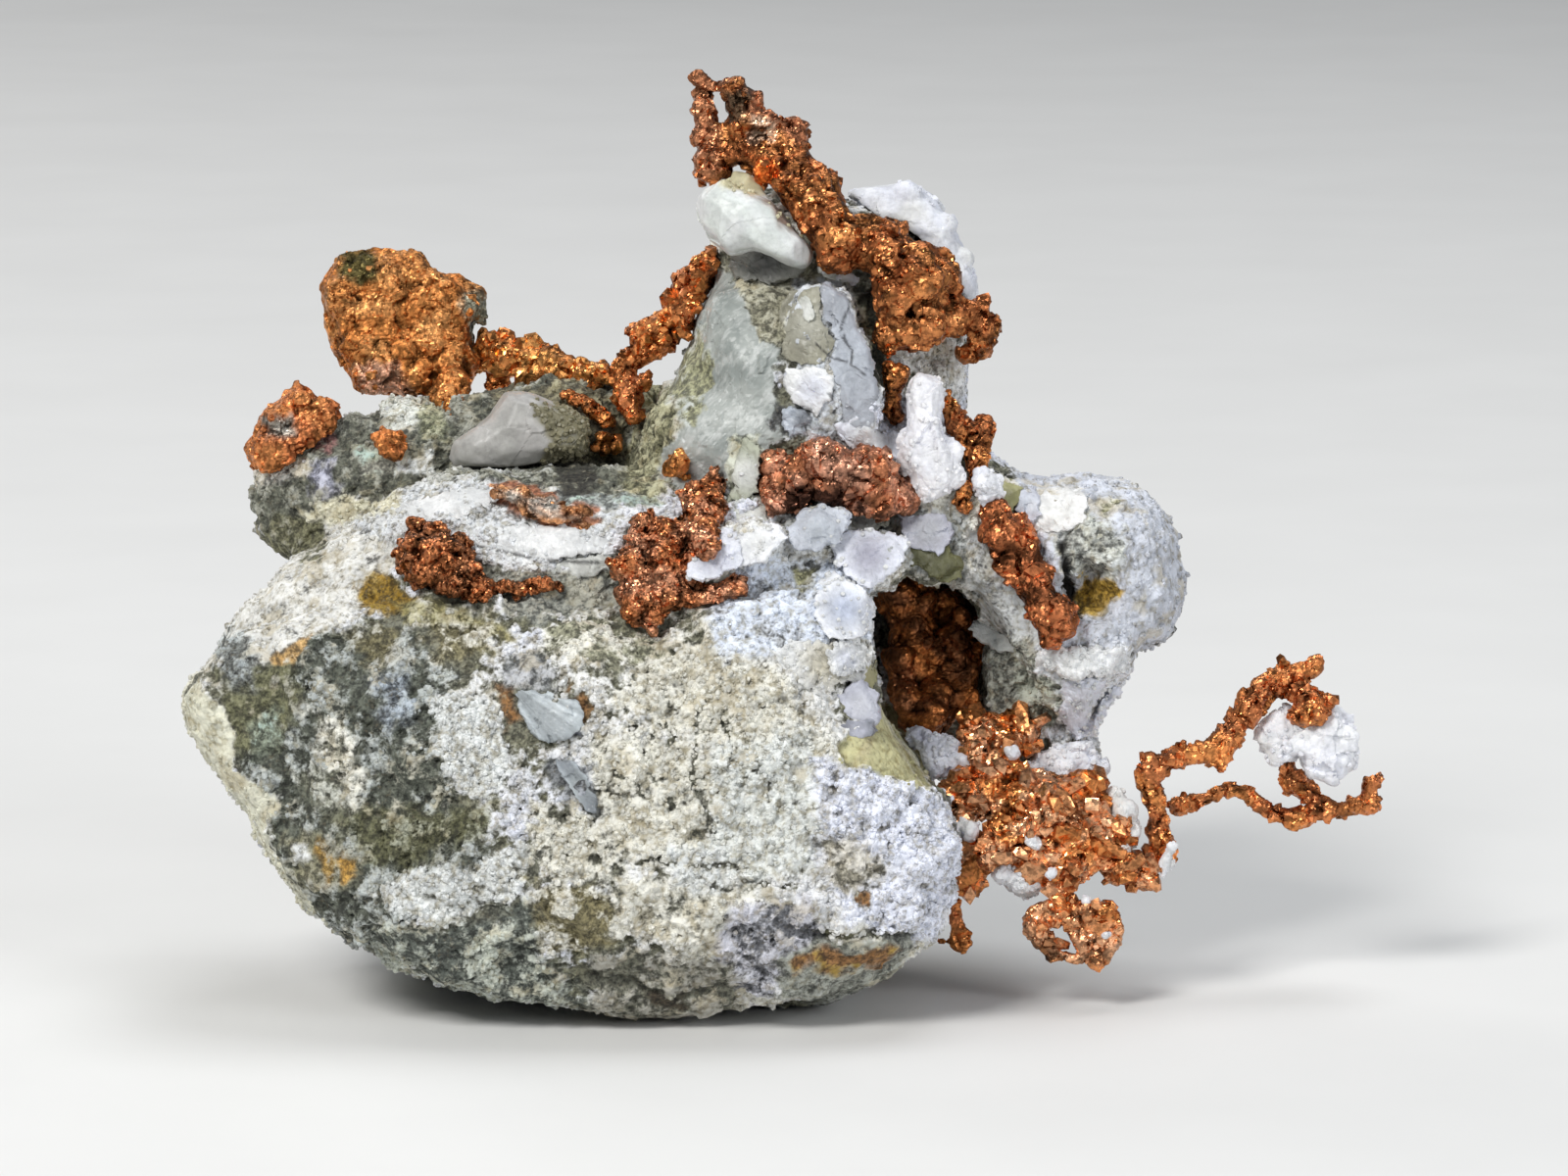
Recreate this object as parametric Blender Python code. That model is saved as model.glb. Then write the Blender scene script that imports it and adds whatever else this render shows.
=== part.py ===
"""Native copper on its matrix rock: a 62 mm wide mineral specimen that stands on a flat broken foot.

Everything is laid out on the specimen's display face, a plane that leans back a little from upright. A place
on it is (across, up, depth) in millimetres: across to the right, up along the face, depth behind the face,
so forms with a negative depth stand out towards the viewer. Across and up are as they look from a viewing
point in front of the face, so places with the same across and up line up. Solids are in metres, +Z up.
"""

import math
import random

import bmesh
import bpy
from mathutils import Matrix, Vector, noise
from mathutils.bvhtree import BVHTree

MM = 0.001
LEAN = math.radians(10.0)  # how far the display face leans back
FOOT_DEPTH = -6.0  # depth at which the display face's lower edge meets the surface it stands on
VIEW_FROM = 400.0  # how far in front of the face the viewing point is
VIEW_CENTRE = (0.3, 22.1)  # across and up of the place straight in front of it
GAP = 0.3  # clear space between neighbouring pieces

# How each material's pieces are grown: voxel of the fused skin, and height of its finer lumps
ROCK_VOXEL, ROCK_ROUGHNESS = 0.5, 0.5
CRYSTAL_VOXEL, CRYSTAL_ROUGHNESS = 0.3, 0.14
COPPER_VOXEL = 0.3


def clear_scene():
    for obj in list(bpy.data.objects):
        bpy.data.objects.remove(obj, do_unlink=True)


def place(across, up, depth):
    """A place on the display face, in metres in the specimen's standing frame."""
    spread = 1 + depth / VIEW_FROM
    right = VIEW_CENTRE[0] + (across - VIEW_CENTRE[0]) * spread
    along = VIEW_CENTRE[1] + (up - VIEW_CENTRE[1]) * spread
    back = depth - FOOT_DEPTH
    return MM * Vector(
        (
            right,
            depth * math.cos(LEAN) + along * math.sin(LEAN),
            along * math.cos(LEAN) - back * math.sin(LEAN),
        )
    )


def direction(way):
    """A unit vector in the standing frame from one on the display face."""
    across, up, depth = way
    turned = (
        across,
        depth * math.cos(LEAN) + up * math.sin(LEAN),
        up * math.cos(LEAN) - depth * math.sin(LEAN),
    )
    return Vector(turned).normalized()


VIEW_LINE = direction((0, 0, 1))  # straight into the display face


# ---------------------------------------------------------------- forms that pieces are grown from


def add_pillow(bm, outline, rim, front, back, fullness=3.0, rings=5):
    """A closed, rounded mass with this outline at depth rim, closing on the points front and back."""
    middle = [Vector((a, u, rim)) for a, u in outline]

    def ring(tip, share):
        size = (1 - share**fullness) ** (1 / fullness)
        depth = rim + (tip[2] - rim) * share
        return [
            bm.verts.new(place(tip[0] + (p.x - tip[0]) * size, tip[1] + (p.y - tip[1]) * size, depth))
            for p in middle
        ]

    shares = [math.sin(math.pi / 2 * k / (rings + 0.35)) for k in range(rings, 0, -1)]
    loops = [ring(front, s) for s in shares]
    loops.append(ring(front, 0.0))
    loops += [ring(back, s) for s in reversed(shares)]
    for near, far in zip(loops, loops[1:]):
        for k in range(len(near)):
            j = (k + 1) % len(near)
            bm.faces.new((near[k], near[j], far[j], far[k]))
    bm.faces.new(loops[0])
    bm.faces.new(loops[-1])


def add_lump(bm, centre, radius, dice, squash=0.18):
    """One blunt crystal: a twenty-sided ball, turned and stretched at random."""
    stretch = Matrix.Diagonal([1 + dice.uniform(-squash, squash) for _ in range(3)]).to_4x4()
    turn = Matrix.Rotation(dice.uniform(0, math.tau), 4, Vector([dice.gauss(0, 1) for _ in range(3)]))
    bmesh.ops.create_icosphere(
        bm, subdivisions=1, radius=radius * MM * 1.08, matrix=Matrix.Translation(centre) @ turn @ stretch
    )


def random_direction(dice):
    return Vector([dice.gauss(0, 1) for _ in range(3)]).normalized()


def add_strand(bm, points, dice, knobs=3):
    """Copper grown along a line of points (across, up, depth, radius), with smaller knobs round each lump."""
    for start, end in zip(points, points[1:] + points[-1:]):
        (here, r_here), (there, r_there) = start, end
        steps = max(1, math.ceil((there - here).length / (0.8 * MM * min(r_here, r_there))))
        for k in range(steps):
            share = k / steps
            radius = (r_here + (r_there - r_here) * share) * (1.0 if k == 0 else 0.86)
            centre = here.lerp(there, share)
            add_lump(bm, centre, radius, dice)
            for _ in range(knobs if k == 0 else 1):
                side = random_direction(dice) * radius * MM * dice.uniform(0.7, 0.95)
                add_lump(bm, centre + side, radius * dice.uniform(0.35, 0.55), dice)


# ---------------------------------------------------------------- from forms to one closed solid


def evaluated_mesh(obj):
    graph = bpy.context.evaluated_depsgraph_get()
    return bpy.data.meshes.new_from_object(obj.evaluated_get(graph))


def apply_modifiers(obj):
    mesh = evaluated_mesh(obj)
    spent = obj.data
    obj.modifiers.clear()
    obj.data = mesh
    bpy.data.meshes.remove(spent)


def new_object(name, bm, material):
    mesh = bpy.data.meshes.new(name)
    bm.to_mesh(mesh)
    bm.free()
    obj = bpy.data.objects.new(name, mesh)
    bpy.context.scene.collection.objects.link(obj)
    mesh.materials.append(material)
    return obj


def fuse(obj, voxel):
    """One skin round all the forms that overlap."""
    remesh = obj.modifiers.new("fused", "REMESH")
    remesh.mode = "VOXEL"
    remesh.voxel_size = voxel * MM
    apply_modifiers(obj)


def roughen(obj, height, size, seed):
    """Craggy relief along the normals: a rolling noise with sharper creases on it."""
    shift = Vector((seed * 13.7, seed * 5.1, seed * 9.3))
    for vertex in obj.data.vertices:
        spot = vertex.co / (size * MM) + shift
        creases = 0.25 - abs(noise.noise(spot * 2.1))
        vertex.co += vertex.normal * height * MM * (noise.fractal(spot, 0.9, 2.0, 2) + 0.8 * creases)


def keep_largest(obj):
    """Drops the crumbs that a cut leaves beside the main body."""
    bm = bmesh.new()
    bm.from_mesh(obj.data)
    bmesh.ops.remove_doubles(bm, verts=bm.verts, dist=0.002 * MM)
    left, islands = set(bm.verts), []
    while left:
        reached, edge_of_search = set(), [left.pop()]
        while edge_of_search:
            vertex = edge_of_search.pop()
            reached.add(vertex)
            for edge in vertex.link_edges:
                other = edge.other_vert(vertex)
                if other in left:
                    left.discard(other)
                    edge_of_search.append(other)
        islands.append(reached)
    islands.sort(key=len, reverse=True)
    crumbs = [v for island in islands[1:] for v in island]
    bmesh.ops.delete(bm, geom=crumbs, context="VERTS")
    bm.to_mesh(obj.data)
    bm.free()
    return [len(island) for island in islands]


def is_sound(mesh):
    """Whether every edge still has two faces once points that coincide are counted as one."""
    spots = {}
    ids = [spots.setdefault(tuple(round(x * 1e7) for x in v.co), len(spots)) for v in mesh.vertices]
    uses = {}
    for polygon in mesh.polygons:
        ring = [ids[k] for k in polygon.vertices]
        for a, b in zip(ring, ring[1:] + ring[:1]):
            uses[min(a, b), max(a, b)] = uses.get((min(a, b), max(a, b)), 0) + 1
    return len(spots) == len(mesh.vertices) and all(count == 2 for count in uses.values())


def facet(obj, faces):
    """Collapses the fine skin to about this many flat triangles."""
    fine = obj.data.copy()
    triangles = sum(len(p.vertices) - 2 for p in fine.polygons)
    for extra in range(12):
        obj.data = fine.copy()
        decimate = obj.modifiers.new("facets", "DECIMATE")
        decimate.ratio = min(1.0, (faces + 4 * extra) / triangles)
        decimate.use_collapse_triangulate = True
        apply_modifiers(obj)
        if is_sound(obj.data):
            break


def clearance_of(obj):
    """The space that a piece's neighbours keep out of: its own skin, GAP further out."""
    shell = bpy.data.objects.new("clearance_" + obj.name, obj.data.copy())
    bpy.context.scene.collection.objects.link(shell)
    swell = shell.modifiers.new("gap", "DISPLACE")
    swell.strength = GAP * MM * 1.25
    swell.mid_level = 0.0
    apply_modifiers(shell)
    shell.hide_render = True
    shell.display_type = "WIRE"
    return shell


def boxes_meet(a, b):
    corners = [[obj.matrix_world @ Vector(c) for c in obj.bound_box] for obj in (a, b)]
    low = [Vector([min(c[k] for c in box) for k in range(3)]) for box in corners]
    high = [Vector([max(c[k] for c in box) for k in range(3)]) for box in corners]
    return all(low[0][k] < high[1][k] and low[1][k] < high[0][k] for k in range(3))


def cut_by(obj, cutters, voxel):
    """Takes the clearances out of the piece, then skins what is left again."""
    near = [cutter for cutter in cutters if boxes_meet(obj, cutter)]
    for cutter in near:
        if boxes_meet(obj, cutter):
            cut = obj.modifiers.new("cut", "BOOLEAN")
            cut.operation = "DIFFERENCE"
            cut.object = cutter
            cut.use_self = True
            apply_modifiers(obj)
    if near:
        keep_largest(obj)
        fuse(obj, voxel)


# ---------------------------------------------------------------- the matrix rock

BOULDER = [(-30.4, 16.8), (-27.2, 19.7), (-23.2, 21.2), (-18.2, 22.1), (-11.7, 21.2), (-6.7, 20.3), (-1.7, 21.6),
           (2.8, 22.3), (4.6, 19.6), (4.9, 16.5), (7.2, 12.5), (9.0, 9.6), (8.2, 4.9), (6.8, 3.9), (2.3, 1.1),
           (-1.7, 1.1), (-5.2, 0.1), (-9.7, 0.9), (-13.7, 1.3), (-18.7, 2.7), (-22.0, 4.5), (-24.8, 7.1),
           (-27.0, 11.0), (-29.4, 14.6)]
SHELF = [(-29.4, 17.6), (-27.2, 20.9), (-24.7, 23.4), (-21.2, 25.9), (-17.2, 27.8), (-11.7, 28.0), (-7.7, 27.7),
         (-1.7, 27.1), (3.3, 25.6), (4.5, 23.6), (4.3, 20.1), (-9.7, 18.1), (-24.7, 17.1)]
LEDGE = [(-26.6, 24.7), (-25.2, 23.7), (-22.4, 25.4), (-17.2, 26.9), (-7.7, 26.9), (-5.7, 29.6), (-6.7, 32.9),
         (-9.7, 33.2), (-12.7, 32.5), (-16.7, 31.5), (-19.7, 31.6), (-22.2, 30.7), (-24.7, 29.9), (-26.6, 27.9)]
SPIRE_FRONT = [(-3.6, 37.6), (-1.7, 38.1), (1.3, 37.8), (3.4, 36.9), (4.1, 34.9), (4.9, 32.9), (5.4, 30.6),
               (8.4, 28.1), (9.6, 24.9), (5.3, 24.1), (-1.7, 25.1), (-5.2, 26.9), (-7.2, 28.4), (-7.0, 30.6),
               (-5.2, 32.9), (-4.5, 35.1)]
SPIRE_BACK = [(-2.8, 41.9), (0.3, 42.4), (3.3, 41.9), (6.8, 40.1), (9.6, 36.5), (9.6, 32.1), (9.1, 28.6),
              (5.3, 27.1), (0.3, 27.1), (-2.7, 30.1), (-4.1, 36.1)]
SADDLE = [(4.3, 30.6), (8.3, 31.1), (10.3, 28.6), (13.3, 27.1), (13.6, 21.1), (12.3, 18.9), (10.6, 20.9),
          (8.3, 23.1), (5.3, 23.4), (3.8, 26.1)]
LOBE = [(12.1, 27.3), (15.8, 27.9), (18.6, 27.4), (19.6, 26.1), (20.4, 24.8), (20.5, 21.6), (19.8, 19.6),
        (17.8, 18.9), (17.8, 17.6), (16.7, 16.4), (15.8, 14.7), (14.3, 15.1), (13.2, 17.1), (11.8, 19.6),
        (11.1, 22.1), (11.7, 25.1)]
PILLAR = [(11.3, 20.1), (14.3, 17.1), (15.8, 14.8), (16.7, 12.6), (15.6, 11.5), (12.8, 12.1), (10.9, 15.1),
          (10.3, 17.6)]
CAVE_WALL = [(3.3, 24.1), (12.3, 24.1), (13.1, 17.1), (12.3, 13.1), (9.3, 12.1), (4.8, 13.1), (3.3, 19.6)]


BULGE = [(3.0, 12.5), (6.5, 12.3), (8.3, 10.5), (9.1, 8.8), (8.6, 6.0), (7.5, 4.6), (4.5, 4.0), (2.0, 6.0),
         (1.5, 10.0)]
LIP = [(1.5, 1.5), (3.5, 1.4), (5.8, 2.7), (6.7, 4.0), (4.5, 4.8), (1.5, 4.0)]
KNUCKLE = [(-0.1, 19.0), (2.0, 19.7), (4.4, 19.6), (5.0, 18.0), (4.3, 16.8), (2.0, 16.8)]
DISC = [(1.8, 21.8), (2.5, 22.7), (3.7, 22.8), (4.6, 21.9), (4.7, 20.6), (3.8, 19.7), (2.4, 20.0)]
PRISM = [(3.0, 16.8), (4.4, 17.3), (5.3, 15.6), (4.9, 14.3), (3.2, 14.9)]
PETALS = [
    [(-4.3, 23.4), (-3.6, 24.5), (-2.6, 24.9), (-2.1, 24.0), (-2.5, 23.0), (-3.6, 22.8)],
    [(-2.3, 24.6), (-1.4, 25.5), (-0.3, 25.2), (0.2, 24.3), (-0.5, 23.5), (-1.9, 23.4)],
    [(0.9, 25.0), (2.0, 26.1), (3.3, 25.6), (3.2, 24.5), (2.2, 23.9), (1.1, 24.1)],
    [(3.2, 23.6), (3.9, 24.5), (5.6, 24.6), (6.5, 23.6), (5.8, 22.6), (4.6, 22.1)],
    [(6.3, 24.0), (7.6, 24.5), (9.3, 24.2), (9.1, 23.0), (7.9, 22.3), (6.9, 22.8)],
]
FLAP = [(-2.6, 28.6), (-1.7, 29.5), (-0.9, 28.5), (-1.0, 27.2), (-2.4, 26.5)]
SLAB = [(0.8, 33.9), (0.5, 36.0), (1.2, 37.6), (2.6, 37.7), (3.9, 36.8), (3.8, 35.6), (4.8, 34.2), (5.3, 31.8),
        (4.8, 29.9), (2.6, 29.2), (1.2, 30.0), (0.0, 31.5)]
STEP = [(13.2, 18.6), (15.5, 19.2), (17.4, 18.9), (17.9, 17.4), (16.6, 16.4), (14.6, 16.6)]
FINGER = [(14.4, 17.4), (15.8, 17.6), (16.3, 16.0), (15.9, 14.5), (15.0, 14.6)]
SCREE = [(10.8, 18.9), (12.4, 19.3), (13.5, 18.0), (13.2, 15.9), (11.8, 15.7), (10.9, 17.0)]
SLOPE = [(9.8, 24.3), (11.6, 24.3), (13.8, 21.0), (14.6, 18.9), (13.2, 17.8), (11.5, 20.6), (10.3, 22.6)]

# Broken faces of the rock: a place on each, the way it looks, and how far it reaches
FRACTURES = [
    ((-24.0, 12.0, 5.5), (-0.6, 0.1, 0.8), 13),
    ((-8.0, 4.0, 9.0), (0.1, -0.6, 0.8), 16),
    ((-6.0, 12.0, 11.2), (0.1, 0.1, 1.0), 18),
    ((-14.0, 27.0, 11.0), (-0.1, 0.6, 0.8), 11),
    ((-24.5, 26.5, 9.5), (-0.8, 0.3, 0.5), 6),
    ((4.0, 39.5, 9.5), (0.2, 0.5, 0.85), 9),
    ((9.3, 33.0, 7.5), (0.9, 0.1, 0.4), 7),
    ((-3.6, 36.0, 7.5), (-0.8, 0.3, 0.5), 7),
    ((17.5, 24.0, 7.0), (0.6, 0.3, 0.7), 8),
    ((-22.5, 12.0, -9.2), (-0.35, -0.1, -0.9), 10),
    ((-8.0, 4.0, -9.4), (0.0, -0.6, -0.8), 15),
    ((-14.0, 19.5, -9.4), (-0.1, 0.45, -0.85), 11),
]


def add_matrix(bm):
    add_pillow(bm, BOULDER, -4.0, (-9.0, 11.0, -11.0), (-8.0, 12.0, 12.0), fullness=4.0)
    add_pillow(bm, SHELF, 1.0, (-9.0, 21.0, -7.5), (-9.0, 20.0, 12.5), fullness=3.2)
    add_pillow(bm, LEDGE, 8.0, (-15.0, 28.0, 2.0), (-14.0, 27.0, 15.0), fullness=3.0)
    add_pillow(bm, SPIRE_FRONT, 1.5, (0.5, 30.0, -5.0), (1.0, 30.0, 9.0), fullness=2.2)
    add_pillow(bm, SPIRE_BACK, 5.5, (3.0, 34.0, -1.0), (3.0, 32.0, 13.0), fullness=3.0)
    add_pillow(bm, SADDLE, 3.5, (8.5, 26.0, -4.0), (8.5, 25.0, 13.0), fullness=2.8)
    add_pillow(bm, LOBE, 2.5, (16.0, 22.5, -3.8), (15.5, 22.0, 9.5), fullness=2.6)
    add_pillow(bm, PILLAR, 4.5, (13.5, 15.5, 0.5), (13.5, 15.5, 9.5), fullness=3.0)
    add_pillow(bm, CAVE_WALL, 9.5, (8.0, 18.5, 6.8), (7.0, 18.5, 13.0), fullness=3.0)
    add_pillow(bm, BULGE, -5.5, (5.5, 8.5, -10.0), (5.0, 8.5, -2.0), fullness=2.6)
    add_pillow(bm, LIP, -4.0, (3.8, 3.0, -7.0), (3.8, 3.2, 0.0))
    add_pillow(bm, KNUCKLE, -5.5, (2.6, 18.2, -8.6), (2.5, 18.2, -3.0), fullness=2.2)
    add_pillow(bm, DISC, -6.0, (3.2, 21.2, -7.2), (3.2, 21.2, -3.0))
    add_pillow(bm, PRISM, -5.0, (4.1, 15.8, -6.8), (4.1, 15.8, -3.0), fullness=2.0)
    for petal, rim in zip(PETALS, (-7.0, -6.8, -6.2, -5.6, -3.6)):
        across, up = (sum(p[k] for p in petal) / len(petal) for k in (0, 1))
        add_pillow(bm, petal, rim, (across, up, rim - 1.0), (across, up, rim + 5.0))
    add_pillow(bm, FLAP, -3.8, (-1.7, 28.0, -5.0), (-1.7, 28.0, -1.0))
    add_pillow(bm, SLAB, -3.6, (2.6, 33.0, -5.2), (2.6, 33.0, -0.5), fullness=4.0)
    add_pillow(bm, STEP, 1.5, (15.6, 17.8, -1.5), (15.6, 17.8, 6.0))
    add_pillow(bm, FINGER, 1.0, (15.5, 16.0, 0.0), (15.5, 16.0, 4.0))
    add_pillow(bm, SCREE, 2.0, (12.2, 17.5, 0.4), (12.2, 17.5, 6.0))
    add_pillow(bm, SLOPE, -1.0, (12.2, 21.2, -2.8), (12.2, 21.2, 4.0))


def sink_pocket(obj, centre, radius, deep):
    """Presses a round pocket into the skin, facing the display face."""
    middle = place(*centre)
    for vertex in obj.data.vertices:
        away = vertex.co - middle
        share = 1 - (away - VIEW_LINE * away.dot(VIEW_LINE)).length / (radius * MM)
        if share > 0 and away.length < 2.2 * radius * MM:
            vertex.co += VIEW_LINE * deep * MM * min(1.0, 2 * share)


def break_faces(obj):
    """Flattens the skin wherever it stands out past a broken face."""
    for where, way, reach in FRACTURES:
        normal = direction(way)
        on_face = place(*where)
        for vertex in obj.data.vertices:
            away = vertex.co - on_face
            out = away.dot(normal)
            hold = (reach * MM - away.length) / (0.35 * reach * MM)
            if out > 0 and hold > 0:
                vertex.co -= normal * out * 0.9 * min(1.0, hold)


def build_matrix(material):
    bm = bmesh.new()
    add_matrix(bm)
    rock = new_object("matrix_rock", bm, material)
    fuse(rock, ROCK_VOXEL)
    break_faces(rock)
    sink_pocket(rock, (15.7, 22.0, -3.0), 1.8, 3.0)
    roughen(rock, ROCK_ROUGHNESS, 5.0, 3)
    facet(rock, 3000)
    bm = bmesh.new()
    bm.from_mesh(rock.data)
    cut = bmesh.ops.bisect_plane(
        bm, geom=bm.verts[:] + bm.edges[:] + bm.faces[:], plane_co=(0, 0, 0), plane_no=(0, 0, -1), clear_outer=True
    )
    rim = [e for e in cut["geom_cut"] if isinstance(e, bmesh.types.BMEdge)]
    bmesh.ops.holes_fill(bm, edges=rim, sides=0)
    bmesh.ops.triangulate(bm, faces=bm.faces)
    bm.to_mesh(rock.data)
    bm.free()
    keep_largest(rock)
    return rock


# ---------------------------------------------------------------- white and grey crystals

CAP = [(-4.2, 42.1), (-3.5, 42.5), (-1.7, 42.5), (-0.2, 41.7), (0.6, 40.7), (1.9, 39.2), (1.5, 38.3), (0.3, 38.5),
       (-0.9, 39.4), (-2.5, 39.0), (-3.5, 39.9), (-4.1, 41.0)]
ARCH = [(3.2, 42.0), (4.3, 42.6), (6.5, 42.7), (8.1, 41.9), (9.2, 40.1), (10.4, 37.1), (9.8, 36.4), (8.6, 37.5),
        (7.5, 39.4), (5.3, 40.7), (3.5, 41.2)]
BLADE = [(7.0, 33.1), (8.2, 32.9), (8.3, 31.6), (8.1, 30.5), (9.1, 28.7), (9.1, 27.1), (7.8, 26.3), (7.0, 27.5),
         (6.2, 28.9), (6.7, 30.6), (6.6, 31.9)]
GREY = [(-17.1, 28.6), (-16.6, 29.6), (-14.7, 30.9), (-13.9, 32.2), (-12.7, 32.1), (-10.9, 31.4), (-9.6, 30.6),
        (-9.7, 28.9), (-12.4, 28.2), (-14.7, 27.6), (-16.2, 27.8)]
TUFT = [(24.3, 14.1), (24.8, 15.3), (25.9, 16.3), (26.8, 15.3), (27.9, 16.0), (28.6, 16.2), (29.6, 14.3),
        (29.4, 13.0), (28.3, 12.2), (27.1, 12.7), (26.6, 13.6), (25.3, 13.1)]

# name: facets, then plates (outline, rim depth, front point, back point), then lumps (across, up, depth, radius)
CRYSTALS = {
    "cap_crystal": (150, [(CAP, -1.5, (-1.4, 40.6, -4.4), (-1.4, 40.6, 1.5))],
                    [(-2.2, 43.3, -0.6, 0.45), (-1.6, 42.9, -1.0, 0.6), (-0.9, 42.6, -1.0, 0.4),
                     (-2.8, 41.3, -2.6, 1.5), (-2.6, 40.3, -2.6, 1.1), (-1.0, 40.7, -2.4, 1.2),
                     (0.4, 39.7, -2.4, 1.0), (1.0, 39.1, -2.4, 0.9)]),
    "arch_crystal": (150, [(ARCH, 4.5, (7.6, 40.4, 2.0), (7.4, 40.2, 7.5))],
                     [(4.0, 41.8, 3.5, 0.75), (4.9, 42.1, 3.5, 0.55), (6.5, 41.9, 4.0, 1.1), (5.4, 41.0, 3.0, 0.4)]),
    "blade_crystal": (120, [(BLADE, -4.0, (7.8, 29.2, -5.6), (7.8, 29.2, -1.0))],
                      [(7.6, 32.3, -4.0, 0.6), (7.8, 30.8, -4.0, 0.7), (8.0, 28.6, -4.4, 0.9),
                       (7.6, 27.2, -4.4, 0.7)]),
    "grey_crystal": (90, [(GREY, 2.2, (-13.4, 29.6, -0.6), (-13.0, 29.4, 5.0))], []),
    "tuft_crystal": (140, [(TUFT, 1.5, (27.2, 14.1, 0.0), (27.2, 14.1, 3.2))],
                     [(25.6, 14.9, 1.2, 0.9), (26.1, 14.0, 0.9, 0.7), (28.0, 14.9, 1.2, 1.1),
                      (28.7, 13.6, 1.4, 0.9), (27.6, 13.3, 1.0, 0.9), (26.9, 14.4, 1.4, 0.8)]),
    "neck_crystal": (40, [], [(2.3, 38.4, -1.6, 0.45), (3.1, 38.0, -1.8, 0.5), (4.0, 37.7, -1.8, 0.4)]),
    "wing_crystal": (120, [([(12.9, 13.8), (14.3, 14.6), (15.9, 14.4), (16.8, 13.0), (16.4, 12.3), (14.6, 12.4),
                             (13.2, 12.9)], 2.0, (14.9, 13.3, -0.3), (14.9, 13.3, 4.0))],
                     [(13.4, 13.4, 0.6, 0.6), (14.4, 13.9, 0.4, 0.7), (15.7, 13.4, 0.6, 0.9)]),
    "mouth_crystal": (90, [], [(7.1, 14.3, 0.2, 0.7), (7.8, 13.8, -0.2, 0.8), (8.5, 14.1, 0.0, 0.7),
                                (8.7, 13.3, -0.4, 0.7), (8.1, 12.9, -0.6, 0.7), (9.0, 12.6, -0.4, 0.5)]),
    "under_crystal": (60, [([(11.1, 7.7), (12.4, 8.0), (13.6, 7.6), (13.3, 6.7), (12.5, 6.3), (11.7, 6.7)],
                            -1.2, (12.4, 7.1, -2.6), (12.4, 7.1, 0.4))], []),
    "side_crystal": (80, [], [(16.9, 10.9, -0.6, 0.55), (17.6, 10.5, -0.8, 0.75), (18.0, 9.8, -0.4, 0.65),
                               (17.9, 9.0, -0.4, 0.5)]),
    "heel_crystal": (44, [], [(19.9, 8.7, -1.8, 0.35), (19.8, 8.1, -1.9, 0.45), (19.6, 7.5, -1.8, 0.4)]),
    "spray_pearl": (36, [], [(9.8, 9.7, -2.6, 0.72)]),
    "flower_crystal": (50, [], [(10.7, 27.3, -4.2, 0.6), (10.3, 27.8, -4.0, 0.5), (11.2, 27.6, -4.0, 0.4)]),
}


# ---------------------------------------------------------------- copper

ON_ROCK = None  # depth that is found by laying the lump on what is behind it

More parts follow.
